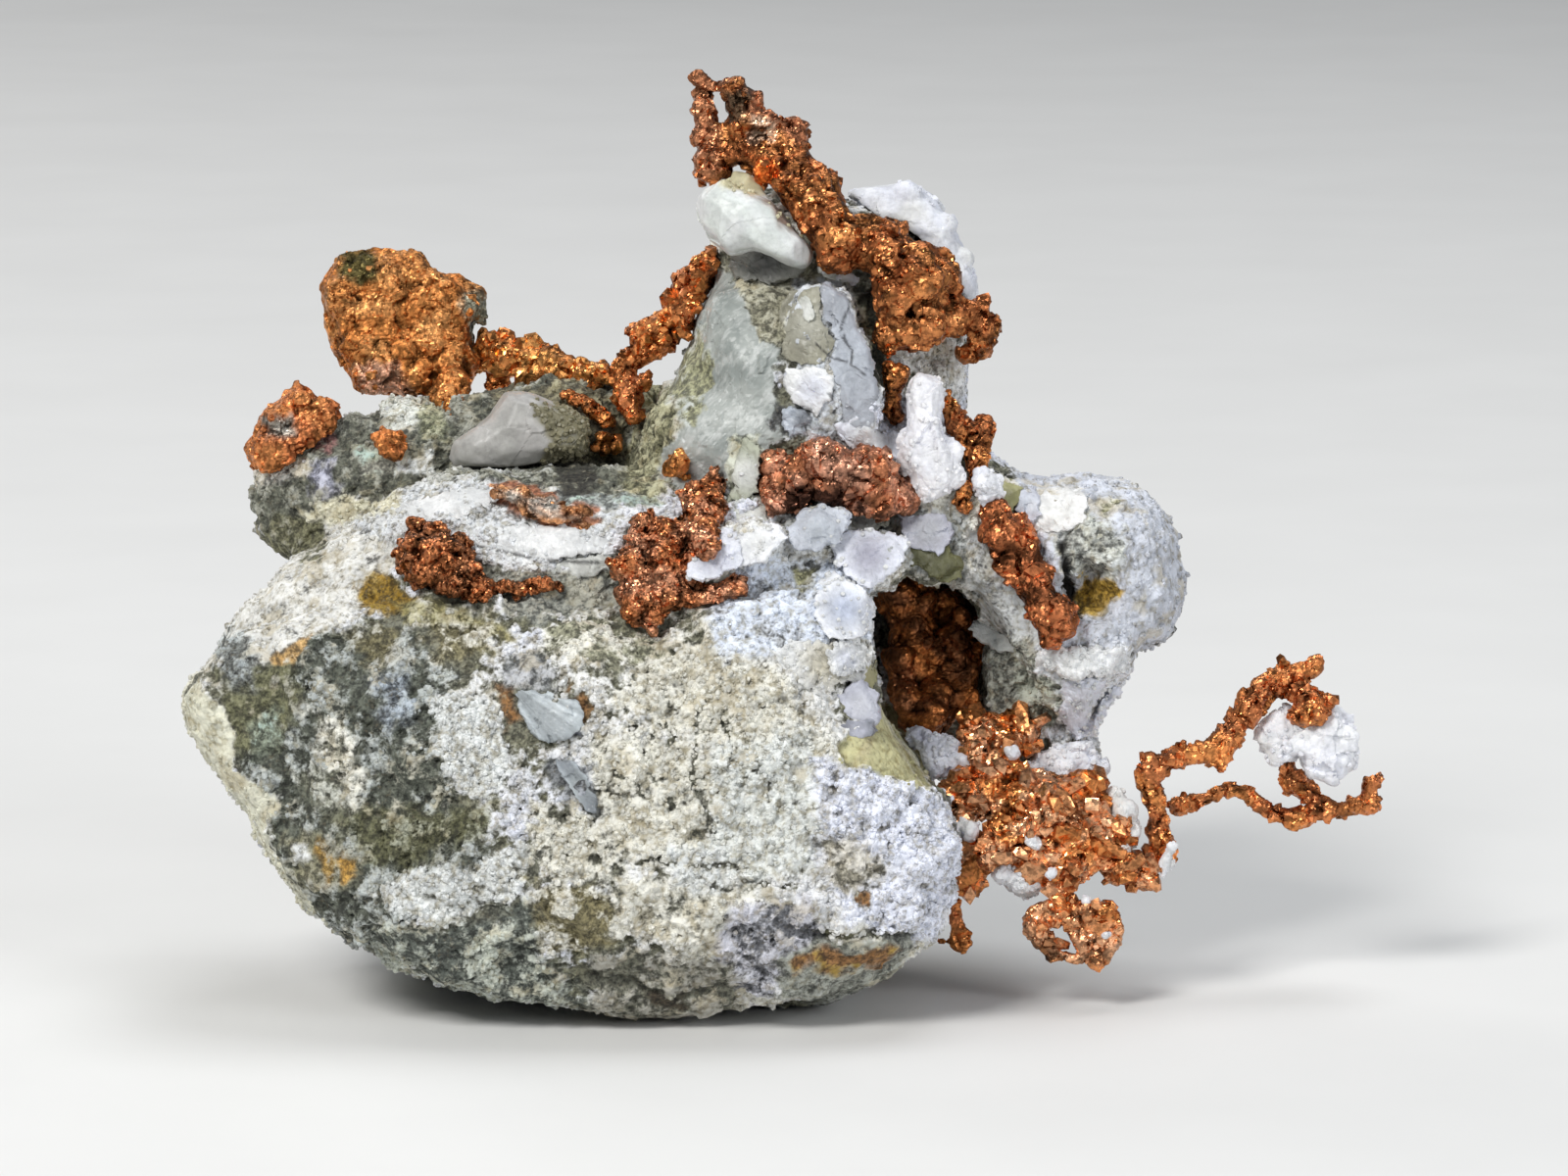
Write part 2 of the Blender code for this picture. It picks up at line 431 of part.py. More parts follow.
# name: facets, then strands of (across, up, depth, radius)
COPPER = {
    "crest_copper": (640, [
        [(-4.1, 47.9, 0.8, 0.54), (-3.8, 47.0, 0.8, 0.5), (-3.7, 46.1, 0.6, 0.65), (-3.5, 44.9, 0.5, 0.6),
         (-3.3, 43.9, 0.2, 0.95), (-3.5, 43.2, 0.2, 0.65)],
        [(-3.8, 47.5, 0.6, 0.35), (-2.4, 47.5, 0.4, 0.5), (-1.3, 46.9, 0.2, 0.8), (-1.8, 46.2, 0.2, 0.6),
         (-2.2, 45.4, 0.2, 0.7), (-1.1, 45.6, 0.0, 0.75), (-1.5, 44.4, -0.2, 0.75), (-0.9, 43.6, -0.6, 0.9)],
        [(-3.3, 43.9, 0.0, 0.5), (-2.2, 44.0, -0.2, 0.45), (-1.5, 44.4, -0.2, 0.6)],
        [(1.4, 45.2, 0.8, 0.5), (0.75, 45.6, 0.8, 0.6), (0.8, 44.8, 0.3, 0.9), (-0.2, 45.3, 0.2, 0.7),
         (-1.1, 45.6, 0.0, 0.6)],
        [(0.8, 44.8, 0.0, 0.85), (0.5, 43.8, -0.6, 1.0), (-0.9, 43.6, -0.6, 0.8)],
        [(0.6, 43.4, -0.8, 1.15), (1.9, 43.0, -0.8, 1.1), (1.3, 42.3, -1.4, 1.2), (2.3, 42.1, -1.4, 1.1),
         (1.8, 41.4, -2.0, 1.2), (2.6, 41.1, -2.0, 1.15), (2.6, 40.3, -2.6, 1.2), (3.2, 39.8, -2.6, 1.0),
         (3.0, 39.0, -2.6, 0.95)],
        [(3.3, 40.3, -2.2, 1.0), (4.2, 40.2, -2.0, 0.95), (5.2, 40.35, -1.6, 0.8), (6.1, 40.2, -1.2, 0.75)],
        [(4.2, 40.2, -2.0, 0.8), (4.4, 39.4, -2.2, 0.9), (5.8, 38.9, -2.4, 1.1), (7.3, 39.0, -2.0, 1.0),
         (8.1, 38.6, -1.6, 0.8), (8.2, 37.8, -2.0, 1.2), (7.0, 37.8, -3.0, 1.4), (5.7, 38.2, -3.0, 1.0),
         (6.2, 37.2, -3.2, 1.3), (7.6, 37.1, -2.8, 1.2), (6.4, 36.0, -2.8, 1.3), (7.4, 35.5, -2.6, 1.3),
         (8.4, 36.1, -2.0, 0.9), (9.6, 36.1, -1.4, 0.8), (10.9, 35.4, -0.8, 0.75), (10.4, 34.7, -0.8, 0.75),
         (10.2, 34.1, -0.6, 0.5)],
        [(7.4, 35.5, -2.6, 1.1), (5.8, 34.9, -2.6, 1.0)],
    ]),
    "knob_copper": (80, [[(5.6, 32.9, -2.8, 0.85), (6.2, 33.0, -2.6, 0.6), (5.6, 32.0, -2.4, 0.7),
                           (5.9, 30.9, -2.0, 0.6)]]),
    "stair_copper": (330, [
        [(-3.4, 39.0, 1.6, 0.5), (-4.0, 38.3, 2.0, 0.85), (-4.4, 37.4, 2.2, 0.95), (-4.1, 36.6, 2.0, 0.85),
         (-5.2, 35.9, 2.6, 0.9), (-6.0, 35.0, 2.8, 0.95), (-6.8, 34.8, 3.0, 0.85), (-7.0, 34.1, 3.0, 0.7),
         (-8.0, 33.3, 3.4, 0.6), (-7.8, 32.5, 3.0, 0.6), (-7.6, 31.4, 2.0, 0.65), (-7.3, 30.7, 1.6, 0.5)],
        [(-4.1, 36.6, 2.0, 0.7), (-4.3, 35.5, 1.4, 0.7), (-4.5, 34.9, 1.2, 0.65), (-5.0, 33.9, 1.2, 0.55),
         (-5.0, 33.1, 0.8, 0.6)],
        [(-7.8, 32.5, 3.0, 0.4), (-6.8, 32.7, 1.8, 0.45)],
    ]),
    "paddle_copper": (300, []),
    "bridge_copper": (220, [
        [(-15.2, 34.3, 9.0, 0.8), (-13.6, 34.0, 8.0, 0.85), (-12.3, 33.7, 7.0, 0.9), (-11.2, 33.2, 6.2, 0.95),
         (-10.0, 32.8, 5.4, 0.9), (-9.0, 32.9, 4.6, 0.85)],
        [(-13.6, 34.0, 8.0, 0.7), (-14.2, 33.2, 8.0, 0.6), (-14.4, 32.3, 8.0, 0.65)],
        [(-12.3, 33.7, 7.0, 0.8), (-12.7, 32.9, 6.6, 0.7), (-11.4, 32.3, 6.0, 0.75), (-10.0, 32.2, 5.2, 0.7)],
    ]),
    "end_copper": (160, []),
    "ledge_nugget": (50, [[(-19.8, 29.5, ON_ROCK, 0.85), (-19.3, 29.0, ON_ROCK, 0.5)]]),
    "hollow_nugget": (50, [[(-9.1, 29.4, ON_ROCK, 0.75), (-8.3, 29.5, ON_ROCK, 0.5)]]),
    "ledge_seam": (100, [[(-10.7, 31.9, ON_ROCK, 0.5), (-9.6, 31.2, ON_ROCK, 0.6), (-8.8, 30.6, ON_ROCK, 0.5)],
                         [(-11.8, 30.4, ON_ROCK, 0.35), (-10.6, 30.0, ON_ROCK, 0.45),
                          (-9.6, 31.2, ON_ROCK, 0.45)]]),
    "foil_copper": (130, [
        [(-14.3, 26.8, ON_ROCK, 0.55), (-12.9, 26.7, ON_ROCK, 0.65), (-12.2, 26.1, ON_ROCK, 0.55),
         (-11.2, 25.8, ON_ROCK, 0.6), (-9.8, 25.9, ON_ROCK, 0.5)],
        [(-12.9, 25.8, ON_ROCK, 0.45), (-11.2, 25.8, ON_ROCK, 0.5)],
    ]),
    "outlier_copper": (240, [
        [(-18.6, 25.1, ON_ROCK, 0.55), (-18.4, 23.9, ON_ROCK, 1.0), (-17.1, 23.5, ON_ROCK, 1.2),
         (-17.4, 24.7, ON_ROCK, 0.8)],
        [(-17.1, 23.5, ON_ROCK, 1.0), (-16.1, 23.1, ON_ROCK, 0.85), (-16.2, 24.3, ON_ROCK, 0.55)],
        [(-18.2, 22.5, ON_ROCK, 0.85), (-17.1, 23.5, ON_ROCK, 1.0), (-16.8, 22.1, ON_ROCK, 0.85),
         (-15.6, 21.9, ON_ROCK, 0.8), (-14.4, 22.0, ON_ROCK, 0.5), (-12.7, 22.2, ON_ROCK, 0.55),
         (-11.3, 22.2, ON_ROCK, 0.45)],
    ]),
    "gate_flake": (44, [[(-5.2, 27.9, ON_ROCK, 0.5), (-4.9, 28.5, ON_ROCK, 0.6)]]),
    "gate_copper": (400, [
        [(-3.1, 27.5, ON_ROCK, 0.8), (-3.9, 26.9, ON_ROCK, 0.7), (-5.0, 26.7, ON_ROCK, 0.5)],
        [(-3.9, 26.9, ON_ROCK, 0.7), (-3.9, 26.0, ON_ROCK, 0.8), (-3.2, 26.2, ON_ROCK, 0.6)],
        [(-3.9, 26.0, ON_ROCK, 0.8), (-3.8, 24.7, ON_ROCK, 0.9), (-3.6, 23.9, ON_ROCK, 0.65)],
        [(-3.8, 24.7, ON_ROCK, 0.8), (-5.3, 24.8, ON_ROCK, 0.8), (-5.7, 23.1, ON_ROCK, 1.0),
         (-6.9, 23.9, ON_ROCK, 1.0), (-7.7, 23.2, ON_ROCK, 0.85), (-6.4, 22.8, ON_ROCK, 0.9),
         (-7.2, 21.6, ON_ROCK, 0.9), (-6.8, 21.1, ON_ROCK, 1.15), (-5.4, 21.8, ON_ROCK, 0.9),
         (-4.2, 21.9, ON_ROCK, 0.65), (-3.4, 21.6, ON_ROCK, 0.7), (-2.1, 22.1, ON_ROCK, 0.75)],
        [(-5.3, 24.8, ON_ROCK, 0.5), (-6.2, 25.4, ON_ROCK, 0.45), (-7.2, 25.3, ON_ROCK, 0.6)],
        [(-5.7, 23.1, ON_ROCK, 0.8), (-5.4, 21.8, ON_ROCK, 0.8)],
    ]),
    "brow_copper": (400, [
        [(-0.3, 28.6, ON_ROCK, 0.55), (-0.6, 27.6, ON_ROCK, 0.75), (0.1, 27.1, ON_ROCK, 0.9),
         (-0.3, 25.9, ON_ROCK, 0.5)],
        [(0.1, 27.1, ON_ROCK, 0.9), (0.9, 28.1, ON_ROCK, 0.8), (2.35, 28.7, ON_ROCK, 1.2),
         (2.8, 27.8, ON_ROCK, 1.2), (4.35, 28.4, ON_ROCK, 1.0), (4.9, 27.7, ON_ROCK, 1.1),
         (6.3, 27.2, ON_ROCK, 0.85), (6.5, 26.3, ON_ROCK, 0.6)],
        [(0.1, 27.1, ON_ROCK, 0.9), (1.1, 27.0, ON_ROCK, 1.0), (0.9, 26.2, ON_ROCK, 0.8),
         (2.0, 26.7, ON_ROCK, 0.9), (3.1, 26.7, ON_ROCK, 0.85), (4.2, 26.7, ON_ROCK, 0.9),
         (5.1, 26.5, ON_ROCK, 0.9), (6.3, 27.2, ON_ROCK, 0.7)],
        [(2.8, 27.8, ON_ROCK, 1.0), (3.1, 26.7, ON_ROCK, 0.8)],
    ]),
    "side_copper": (220, [
        [(10.7, 30.5, -1.6, 0.6), (10.2, 29.4, -2.4, 0.7), (9.3, 29.8, -2.4, 0.75), (8.9, 31.0, -2.2, 0.65),
         (8.5, 32.1, -2.0, 0.5)],
        [(10.2, 29.4, -2.4, 0.65), (10.0, 28.3, -3.2, 0.65), (9.8, 27.3, -3.8, 0.6), (9.3, 26.4, -4.2, 0.7)],
    ]),
    "chain_copper": (240, [
        [(10.9, 26.3, ON_ROCK, 0.7), (11.4, 25.0, ON_ROCK, 0.95), (12.5, 24.4, ON_ROCK, 0.95),
         (12.8, 23.1, ON_ROCK, 0.95), (13.4, 21.7, ON_ROCK, 1.05), (14.2, 20.3, ON_ROCK, 1.2)],
        [(12.8, 23.1, ON_ROCK, 0.6), (11.3, 23.4, ON_ROCK, 0.6)],
    ]),
    "cave_copper": (360, [
        [(6.2, 21.6, 3.6, 1.2), (7.7, 21.9, 4.0, 1.2), (8.8, 21.0, 4.2, 1.3), (10.0, 20.6, 4.4, 1.1)],
        [(7.7, 21.9, 4.0, 1.1), (7.1, 20.3, 4.0, 1.3), (6.2, 18.4, 2.4, 1.0)],
        [(8.8, 21.0, 4.2, 1.2), (8.6, 18.9, 3.6, 1.5), (9.8, 18.2, 3.4, 1.2), (10.4, 17.3, 3.2, 0.9)],
        [(8.6, 18.9, 3.6, 1.3), (7.1, 17.6, 3.0, 1.0), (6.2, 16.6, 2.0, 0.8)],
        [(7.1, 17.6, 3.0, 0.9), (8.5, 16.4, 2.4, 1.0), (6.9, 15.8, 1.6, 1.1), (7.9, 15.3, 1.2, 1.0)],
        [(8.5, 16.4, 2.4, 0.9), (10.0, 16.4, 2.4, 0.9), (9.8, 18.2, 3.0, 0.9)],
    ]),
    "spray_copper": (700, [
        [(9.8, 15.4, 0.8, 0.75), (10.5, 14.9, 0.4, 0.75), (11.7, 15.2, 0.4, 0.75), (12.6, 14.6, 0.0, 0.9),
         (11.5, 14.3, -0.2, 0.8), (10.3, 14.0, -0.2, 0.75), (9.4, 14.2, 0.2, 0.65), (9.5, 13.4, -0.4, 0.7)],
        [(10.3, 14.0, -0.4, 0.75), (10.6, 13.0, -0.8, 0.85), (11.5, 13.2, -0.8, 0.85), (10.9, 12.2, -1.2, 0.9),
         (12.3, 12.3, -1.6, 0.95), (13.8, 11.8, -1.8, 0.95), (14.9, 11.7, -1.6, 0.85), (16.3, 11.7, -1.0, 0.7)],
        [(10.9, 12.2, -1.2, 0.8), (9.3, 11.5, -0.8, 1.05), (10.2, 11.4, -1.4, 0.85), (9.5, 10.6, -1.4, 0.75)],
        [(10.2, 11.4, -1.4, 0.9), (11.6, 10.6, -2.4, 0.95), (13.2, 11.1, -2.6, 1.05), (14.9, 11.0, -2.2, 0.85)],
        [(11.6, 10.6, -2.4, 0.9), (12.3, 9.8, -2.8, 0.95), (13.8, 10.3, -3.0, 1.1), (15.2, 10.0, -2.4, 1.0),
         (16.4, 10.0, -1.6, 0.85), (17.1, 9.5, -1.2, 0.85)],
        [(12.3, 9.8, -2.8, 0.9), (11.2, 8.9, -2.8, 1.15), (10.3, 8.6, -2.2, 0.85), (9.4, 8.6, -1.4, 0.65)],
        [(12.3, 9.8, -2.8, 0.85), (13.2, 8.5, -2.8, 0.85), (14.6, 8.7, -2.8, 1.0), (15.2, 8.0, -2.6, 0.9),
         (14.3, 7.0, -2.6, 0.85)],
        [(15.2, 10.0, -2.4, 0.9), (14.6, 8.7, -2.8, 0.9), (16.6, 8.6, -1.8, 0.85), (17.5, 7.9, -1.4, 0.9),
         (18.8, 7.5, -1.0, 0.85)],
        [(10.3, 8.6, -2.0, 0.7), (9.0, 7.3, -1.2, 0.75), (10.0, 6.9, -1.2, 0.75)],
        [(13.8, 11.8, -1.8, 0.8), (13.8, 10.3, -3.0, 0.9), (14.6, 8.7, -2.8, 0.8)],
    ]),
    "ring_copper": (230, [
        [(14.5, 5.9, -2.6, 0.7), (13.4, 5.5, -2.6, 0.7), (13.1, 4.7, -2.4, 0.7), (13.5, 3.9, -2.2, 0.7),
         (14.2, 3.3, -2.2, 0.55), (15.2, 3.1, -2.2, 0.45), (16.4, 3.1, -2.4, 0.65), (16.5, 4.0, -2.4, 0.75),
         (17.1, 4.8, -2.6, 0.65), (16.7, 5.4, -2.6, 0.8), (15.7, 5.4, -2.8, 0.85), (15.6, 4.8, -2.6, 0.7)],
    ]),
    "hook_copper": (100, [
        [(9.1, 6.0, -0.8, 0.45), (8.9, 5.3, -0.8, 0.4), (9.2, 4.7, -0.9, 0.42), (9.7, 4.15, -1.0, 0.48),
         (9.3, 3.7, -0.9, 0.34), (8.5, 4.0, -0.6, 0.32), (7.9, 4.15, -0.2, 0.3)],
    ]),
    "upper_wire": (330, [
        [(19.3, 8.1, -0.6, 0.7), (19.7, 9.0, -0.6, 0.7), (19.4, 10.2, -0.6, 0.7), (19.1, 11.5, -0.8, 0.65),
         (18.7, 12.5, -1.0, 0.55), (19.9, 13.2, -1.0, 0.6), (21.4, 13.6, -0.8, 0.6), (22.6, 14.0, -0.4, 0.7),
         (23.4, 14.9, 0.0, 0.6), (24.1, 16.0, 0.4, 0.8), (24.8, 17.0, 0.8, 0.65), (25.7, 17.7, 1.2, 0.55),
         (26.8, 17.7, 1.4, 0.6), (27.5, 18.3, 1.4, 0.45)],
        [(22.6, 14.0, -0.4, 0.6), (22.6, 13.3, -0.4, 0.55)],
        [(25.7, 17.7, 1.2, 0.5), (26.2, 16.6, 1.2, 0.65), (27.0, 15.6, 1.0, 0.6)],
    ]),
    "lower_wire": (270, [
        [(20.4, 11.0, 1.4, 0.6), (21.6, 11.2, 2.0, 0.5), (22.9, 11.8, 2.2, 0.5),
         (23.9, 11.7, 2.2, 0.45), (24.9, 10.7, 2.0, 0.5), (26.4, 10.3, 2.0, 0.6), (27.9, 10.7, 2.2, 0.5),
         (29.3, 10.9, 2.2, 0.5), (30.3, 11.1, 2.0, 0.55), (30.2, 12.2, 1.8, 0.5), (30.4, 12.6, 1.8, 0.4)],
        [(27.9, 10.7, 2.2, 0.45), (27.5, 11.6, 2.4, 0.5), (26.8, 12.0, 2.8, 0.6)],
    ]),
}

# Copper that grew as a plate: outline, rim depth, front point, back point
PLATES = {
    "paddle_copper": (
        [(-23.4, 37.6), (-22.4, 39.1), (-20.7, 39.3), (-18.3, 39.3), (-17.5, 38.2), (-16.1, 37.9), (-14.9, 37.3),
         (-14.8, 36.5), (-15.7, 35.8), (-15.6, 34.5), (-15.1, 33.3), (-15.9, 32.2), (-16.1, 30.8), (-17.1, 30.7),
         (-18.3, 31.7), (-20.4, 32.0), (-21.5, 32.1), (-22.0, 33.2), (-22.8, 34.2), (-23.2, 35.5)],
        9.0, (-19.0, 35.4, 7.2), (-19.0, 35.4, 11.4)),
    "end_copper": (
        [(-27.0, 29.0), (-26.2, 31.1), (-24.4, 32.3), (-22.9, 31.2), (-21.9, 30.0), (-22.7, 28.8), (-25.0, 28.1),
         (-26.6, 27.9)],
        7.0, (-24.6, 30.0, 3.6), (-24.6, 30.0, 11.0)),
}


def lay_on(ground, across, up, radius):
    """The centre of a lump that rests on the nearest surface behind this place."""
    start = place(across, up, -40)
    way = (place(across, up, 0) - start).normalized()
    hit = ground.ray_cast(start, way)[0]
    if hit is None:
        hit = ground.find_nearest(place(across, up, 0))[0]
    return hit - way * MM * (0.6 * radius + GAP)


def strand_points(points, ground):
    return [
        (lay_on(ground, a, u, r), 1.1 * r) if depth is ON_ROCK else (place(a, u, depth), r)
        for a, u, depth, r in points
    ]


def build_crystal(name, material, seed):
    facets, plates, lumps = CRYSTALS[name]
    dice = random.Random(seed)
    bm = bmesh.new()
    for outline, rim, front, back in plates:
        add_pillow(bm, outline, rim, front, back)
    for across, up, depth, radius in lumps:
        add_lump(bm, place(across, up, depth), radius, dice)
    crystal = new_object(name, bm, material)
    fuse(crystal, CRYSTAL_VOXEL)
    roughen(crystal, CRYSTAL_ROUGHNESS, 1.2, seed)
    return crystal, facets


def build_copper(name, material, ground, seed):
    facets, strands = COPPER[name]
    dice = random.Random(seed)
    bm = bmesh.new()
    if name in PLATES:
        outline, rim, front, back = PLATES[name]
        add_pillow(bm, outline, rim, front, back, fullness=2.6)
        for a, u in outline:
            inward = dice.uniform(0.06, 0.12)
            spot = place(a + (front[0] - a) * inward, u + (front[1] - u) * inward, rim + dice.uniform(-0.5, 0.5))
            add_lump(bm, spot, dice.uniform(0.45, 0.7), dice)
        for _ in range(len(outline) * 3):
            a, u = outline[dice.randrange(len(outline))]
            share = dice.uniform(0.2, 0.8)
            spot = place(front[0] + (a - front[0]) * share, front[1] + (u - front[1]) * share, front[2] + 0.4)
            add_lump(bm, spot, dice.uniform(0.55, 1.0), dice)
    for strand in strands:
        add_strand(bm, strand_points(strand, ground), dice)
    return new_object(name, bm, material), facets


def make_material(name, colour, roughness, metallic):
    material = bpy.data.materials.new(name)
    material.use_nodes = True
    shader = material.node_tree.nodes["Principled BSDF"]
    shader.inputs["Base Color"].default_value = (*colour, 1.0)
    shader.inputs["Roughness"].default_value = roughness
    shader.inputs["Metallic"].default_value = metallic
    material.diffuse_color = (*colour, 1.0)
    return material


def tree_of(objects):
    """One search tree over several meshes, all at the origin."""
    points, faces = [], []
    for obj in objects:
        first = len(points)
        points += [v.co.copy() for v in obj.data.vertices]
        faces += [[first + k for k in p.vertices] for p in obj.data.polygons]
    return BVHTree.FromPolygons(points, faces)


def stand_on_origin(objects):
    """Moves the whole specimen so that its box stands centred on the origin."""
    corners = [obj.matrix_world @ Vector(c) for obj in objects for c in obj.bound_box]
    low = Vector([min(c[k] for c in corners) for k in range(3)])
    high = Vector([max(c[k] for c in corners) for k in range(3)])
    shift = Vector((-(low.x + high.x) / 2, -(low.y + high.y) / 2, -low.z))
    for mesh in {obj.data for obj in objects}:
        mesh.transform(Matrix.Translation(shift))
    return shift


def main():
    clear_scene()
    rock_finish = make_material("matrix_rock", (0.62, 0.62, 0.57), 0.85, 0.0)
    crystal_finish = make_material("white_crystal", (0.86, 0.87, 0.90), 0.55, 0.0)
    copper_finish = make_material("native_copper", (0.72, 0.36, 0.20), 0.38, 1.0)

    rock = build_matrix(rock_finish)
    done, cutters = [rock], [clearance_of(rock)]
    ground = tree_of(done)

    for seed, name in enumerate(CRYSTALS):
        crystal, facets = build_crystal(name, crystal_finish, seed + 10)
        cut_by(crystal, cutters, CRYSTAL_VOXEL)
        print("ISLANDS", name, keep_largest(crystal)[:4])
        facet(crystal, facets)
        done.append(crystal)
        cutters.append(clearance_of(crystal))

    ground = tree_of(done)
    for seed, name in enumerate(COPPER):
        copper, facets = build_copper(name, copper_finish, ground, seed + 100)
        fuse(copper, COPPER_VOXEL)
        cut_by(copper, cutters, COPPER_VOXEL)
        print("ISLANDS", name, keep_largest(copper)[:4])
        facet(copper, facets)
        done.append(copper)
        cutters.append(clearance_of(copper))

    for cutter in cutters:
        bpy.data.objects.remove(cutter, do_unlink=True)
    shift = stand_on_origin(done)
    print("SHIFT", [round(x * 1000, 3) for x in shift])


main()
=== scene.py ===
import math

import bmesh
import bpy
import numpy as np
from mathutils import Matrix, Vector, noise
from mathutils.bvhtree import BVHTree


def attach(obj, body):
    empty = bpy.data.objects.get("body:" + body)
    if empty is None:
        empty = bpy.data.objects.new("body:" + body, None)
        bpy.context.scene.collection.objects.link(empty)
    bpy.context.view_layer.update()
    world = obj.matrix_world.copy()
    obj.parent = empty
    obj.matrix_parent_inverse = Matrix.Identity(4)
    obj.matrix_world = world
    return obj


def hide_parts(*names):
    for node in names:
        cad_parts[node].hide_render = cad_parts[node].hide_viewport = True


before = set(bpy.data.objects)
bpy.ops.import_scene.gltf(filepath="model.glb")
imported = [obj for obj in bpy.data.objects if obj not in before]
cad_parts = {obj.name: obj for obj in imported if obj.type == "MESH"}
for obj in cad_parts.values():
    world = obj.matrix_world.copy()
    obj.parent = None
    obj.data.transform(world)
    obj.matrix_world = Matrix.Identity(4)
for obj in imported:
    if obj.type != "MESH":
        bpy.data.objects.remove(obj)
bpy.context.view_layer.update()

# ---------------------------------------------------------------- studio
# The specimen stands on a plain pale table under soft lamps. The viewing point is straight in front of its
# display face, which leans back ten degrees, so the camera looks down by the same angle.

MM = 0.001
LEAN = math.radians(10.0)
SHIFT = Vector((-0.365, -4.417, 0.0))  # where the display face's origin lies in the standing frame, mm
FOOT_DEPTH = -6.0  # how deep the display face's lower edge lies where it meets the table, mm
VIEW_FROM = 400.0  # how far in front of the display face it is seen from, mm
VIEW_CENTRE = (0.3, 22.1)  # across and up, mm


def place(across, up, depth):
    """A place on the display face (mm across, up along it, behind it), in metres in the standing frame."""
    spread = 1 + depth / VIEW_FROM
    right = VIEW_CENTRE[0] + (across - VIEW_CENTRE[0]) * spread
    along = VIEW_CENTRE[1] + (up - VIEW_CENTRE[1]) * spread
    back = depth - FOOT_DEPTH
    x, y = right, depth * math.cos(LEAN) + along * math.sin(LEAN)
    z = along * math.cos(LEAN) - back * math.sin(LEAN)
    return MM * (Vector((x, y, z)) + SHIFT)


camera = bpy.data.objects.new("camera", bpy.data.cameras.new("camera"))
bpy.context.scene.collection.objects.link(camera)
camera.location = place(*VIEW_CENTRE, -VIEW_FROM)
camera.rotation_euler = (math.pi / 2 - LEAN, 0, 0)
camera.data.sensor_width = 36.0
camera.data.lens = 180.0
camera.data.clip_start = 0.01
camera.data.clip_end = 20.0
bpy.context.scene.camera = camera


def add_node(tree, kind, inputs=(), **settings):
    """A shader node with these settings; each input is a value or the socket that feeds it."""
    made = tree.nodes.new("ShaderNode" + kind)
    for key, value in settings.items():
        setattr(made, key, value)
    for key, value in dict(inputs).items():
        if isinstance(value, bpy.types.NodeSocket):
            tree.links.new(value, made.inputs[key])
        else:
            made.inputs[key].default_value = value
    return made


def new_material(name):
    """(material, its node tree, its Principled shader)."""
    material = bpy.data.materials.new(name)
    material.use_nodes = True
    return material, material.node_tree, material.node_tree.nodes["Principled BSDF"]


def blend(tree, share, a, b, kind="MIX"):
    """Colour a turning into colour b as share goes from 0 to 1."""
    mixed = add_node(tree, "Mix", {0: share, 6: a, 7: b}, data_type="RGBA", blend_type=kind)
    return mixed.outputs[2]


def ramp(tree, value, low, high, to_low=0.0, to_high=1.0):
    """A smooth step from to_low to to_high as value goes from low to high."""
    ends = {"Value": value, "From Min": low, "From Max": high, "To Min": to_low, "To Max": to_high}
    return add_node(tree, "MapRange", ends, interpolation_type="SMOOTHSTEP").outputs["Result"]


def sums(tree, kind, a, b):
    """a and b added, subtracted, multiplied or compared, as kind says."""
    return add_node(tree, "Math", {0: a, 1: b}, operation=kind).outputs[0]


def multiplied(tree, a, b):
    return sums(tree, "MULTIPLY", a, b)


def new_piece(name, bm):
    """An object with this name from the bmesh, which is used up."""
    mesh = bpy.data.meshes.new(name)
    bm.to_mesh(mesh)
    bm.free()
    piece = bpy.data.objects.new(name, mesh)
    bpy.context.scene.collection.objects.link(piece)
    return piece


table = bmesh.new()
bmesh.ops.create_grid(table, x_segments=1, y_segments=1, size=3.0)
table = new_piece("table", table)
finish, tree, shader = new_material("pale_table")
coords = add_node(tree, "TexCoord").outputs["Object"]
grain = add_node(tree, "TexNoise", {"Vector": coords, "Scale": 60.0, "Detail": 3.0}).outputs["Fac"]
mottled = blend(tree, grain, (0.70, 0.70, 0.69, 1), (0.76, 0.76, 0.75, 1))
tree.links.new(mottled, shader.inputs["Base Color"])
shader.inputs["Roughness"].default_value = 0.7
table.data.materials.append(finish)

# name, place in metres, size in metres, power in watts, colour
LAMPS = [
    ("key_lamp", (-0.30, -0.42, 0.50), 0.22, 3.9, (1.0, 0.985, 0.96)),
    ("fill_lamp", (0.45, -0.40, 0.25), 0.25, 1.4, (0.95, 0.97, 1.0)),
    ("top_lamp", (0.10, 0.15, 0.60), 0.30, 1.5, (0.96, 0.98, 1.0)),
    ("back_lamp", (-0.40, 0.45, 0.35), 0.30, 1.0, (1.0, 0.98, 0.95)),
]
for name, spot, size, power, colour in LAMPS:
    lamp = bpy.data.objects.new(name, bpy.data.lights.new(name, "AREA"))
    lamp.data.size = size
    lamp.data.energy = power
    lamp.data.color = colour
    lamp.location = spot
    lamp.rotation_euler = (Vector((0, 0, 0.02)) - Vector(spot)).to_track_quat("-Z", "Y").to_euler()
    bpy.context.scene.collection.objects.link(lamp)

studio = bpy.data.worlds.new("studio")
studio.use_nodes = True
studio.node_tree.nodes["Background"].inputs["Color"].default_value = (0.80, 0.84, 0.90, 1)
studio.node_tree.nodes["Background"].inputs["Strength"].default_value = 0.22
bpy.context.scene.world = studio
bpy.context.scene.view_settings.view_transform = "Standard"

# ---------------------------------------------------------------- matrix rock
# The mass that everything grew on: altered basalt, dark grey-green where it is bare, crusted with pale
# calcite and prehnite and stained with iron. It broke naturally, and one flat break is what it stands on.


def merged_copy(node):
    """The node's mesh as a bmesh whose loose triangles are joined."""
    bm = bmesh.new()
    bm.from_mesh(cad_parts[node].data)
    bmesh.ops.remove_doubles(bm, verts=bm.verts, dist=0.002 * MM)
    return bm


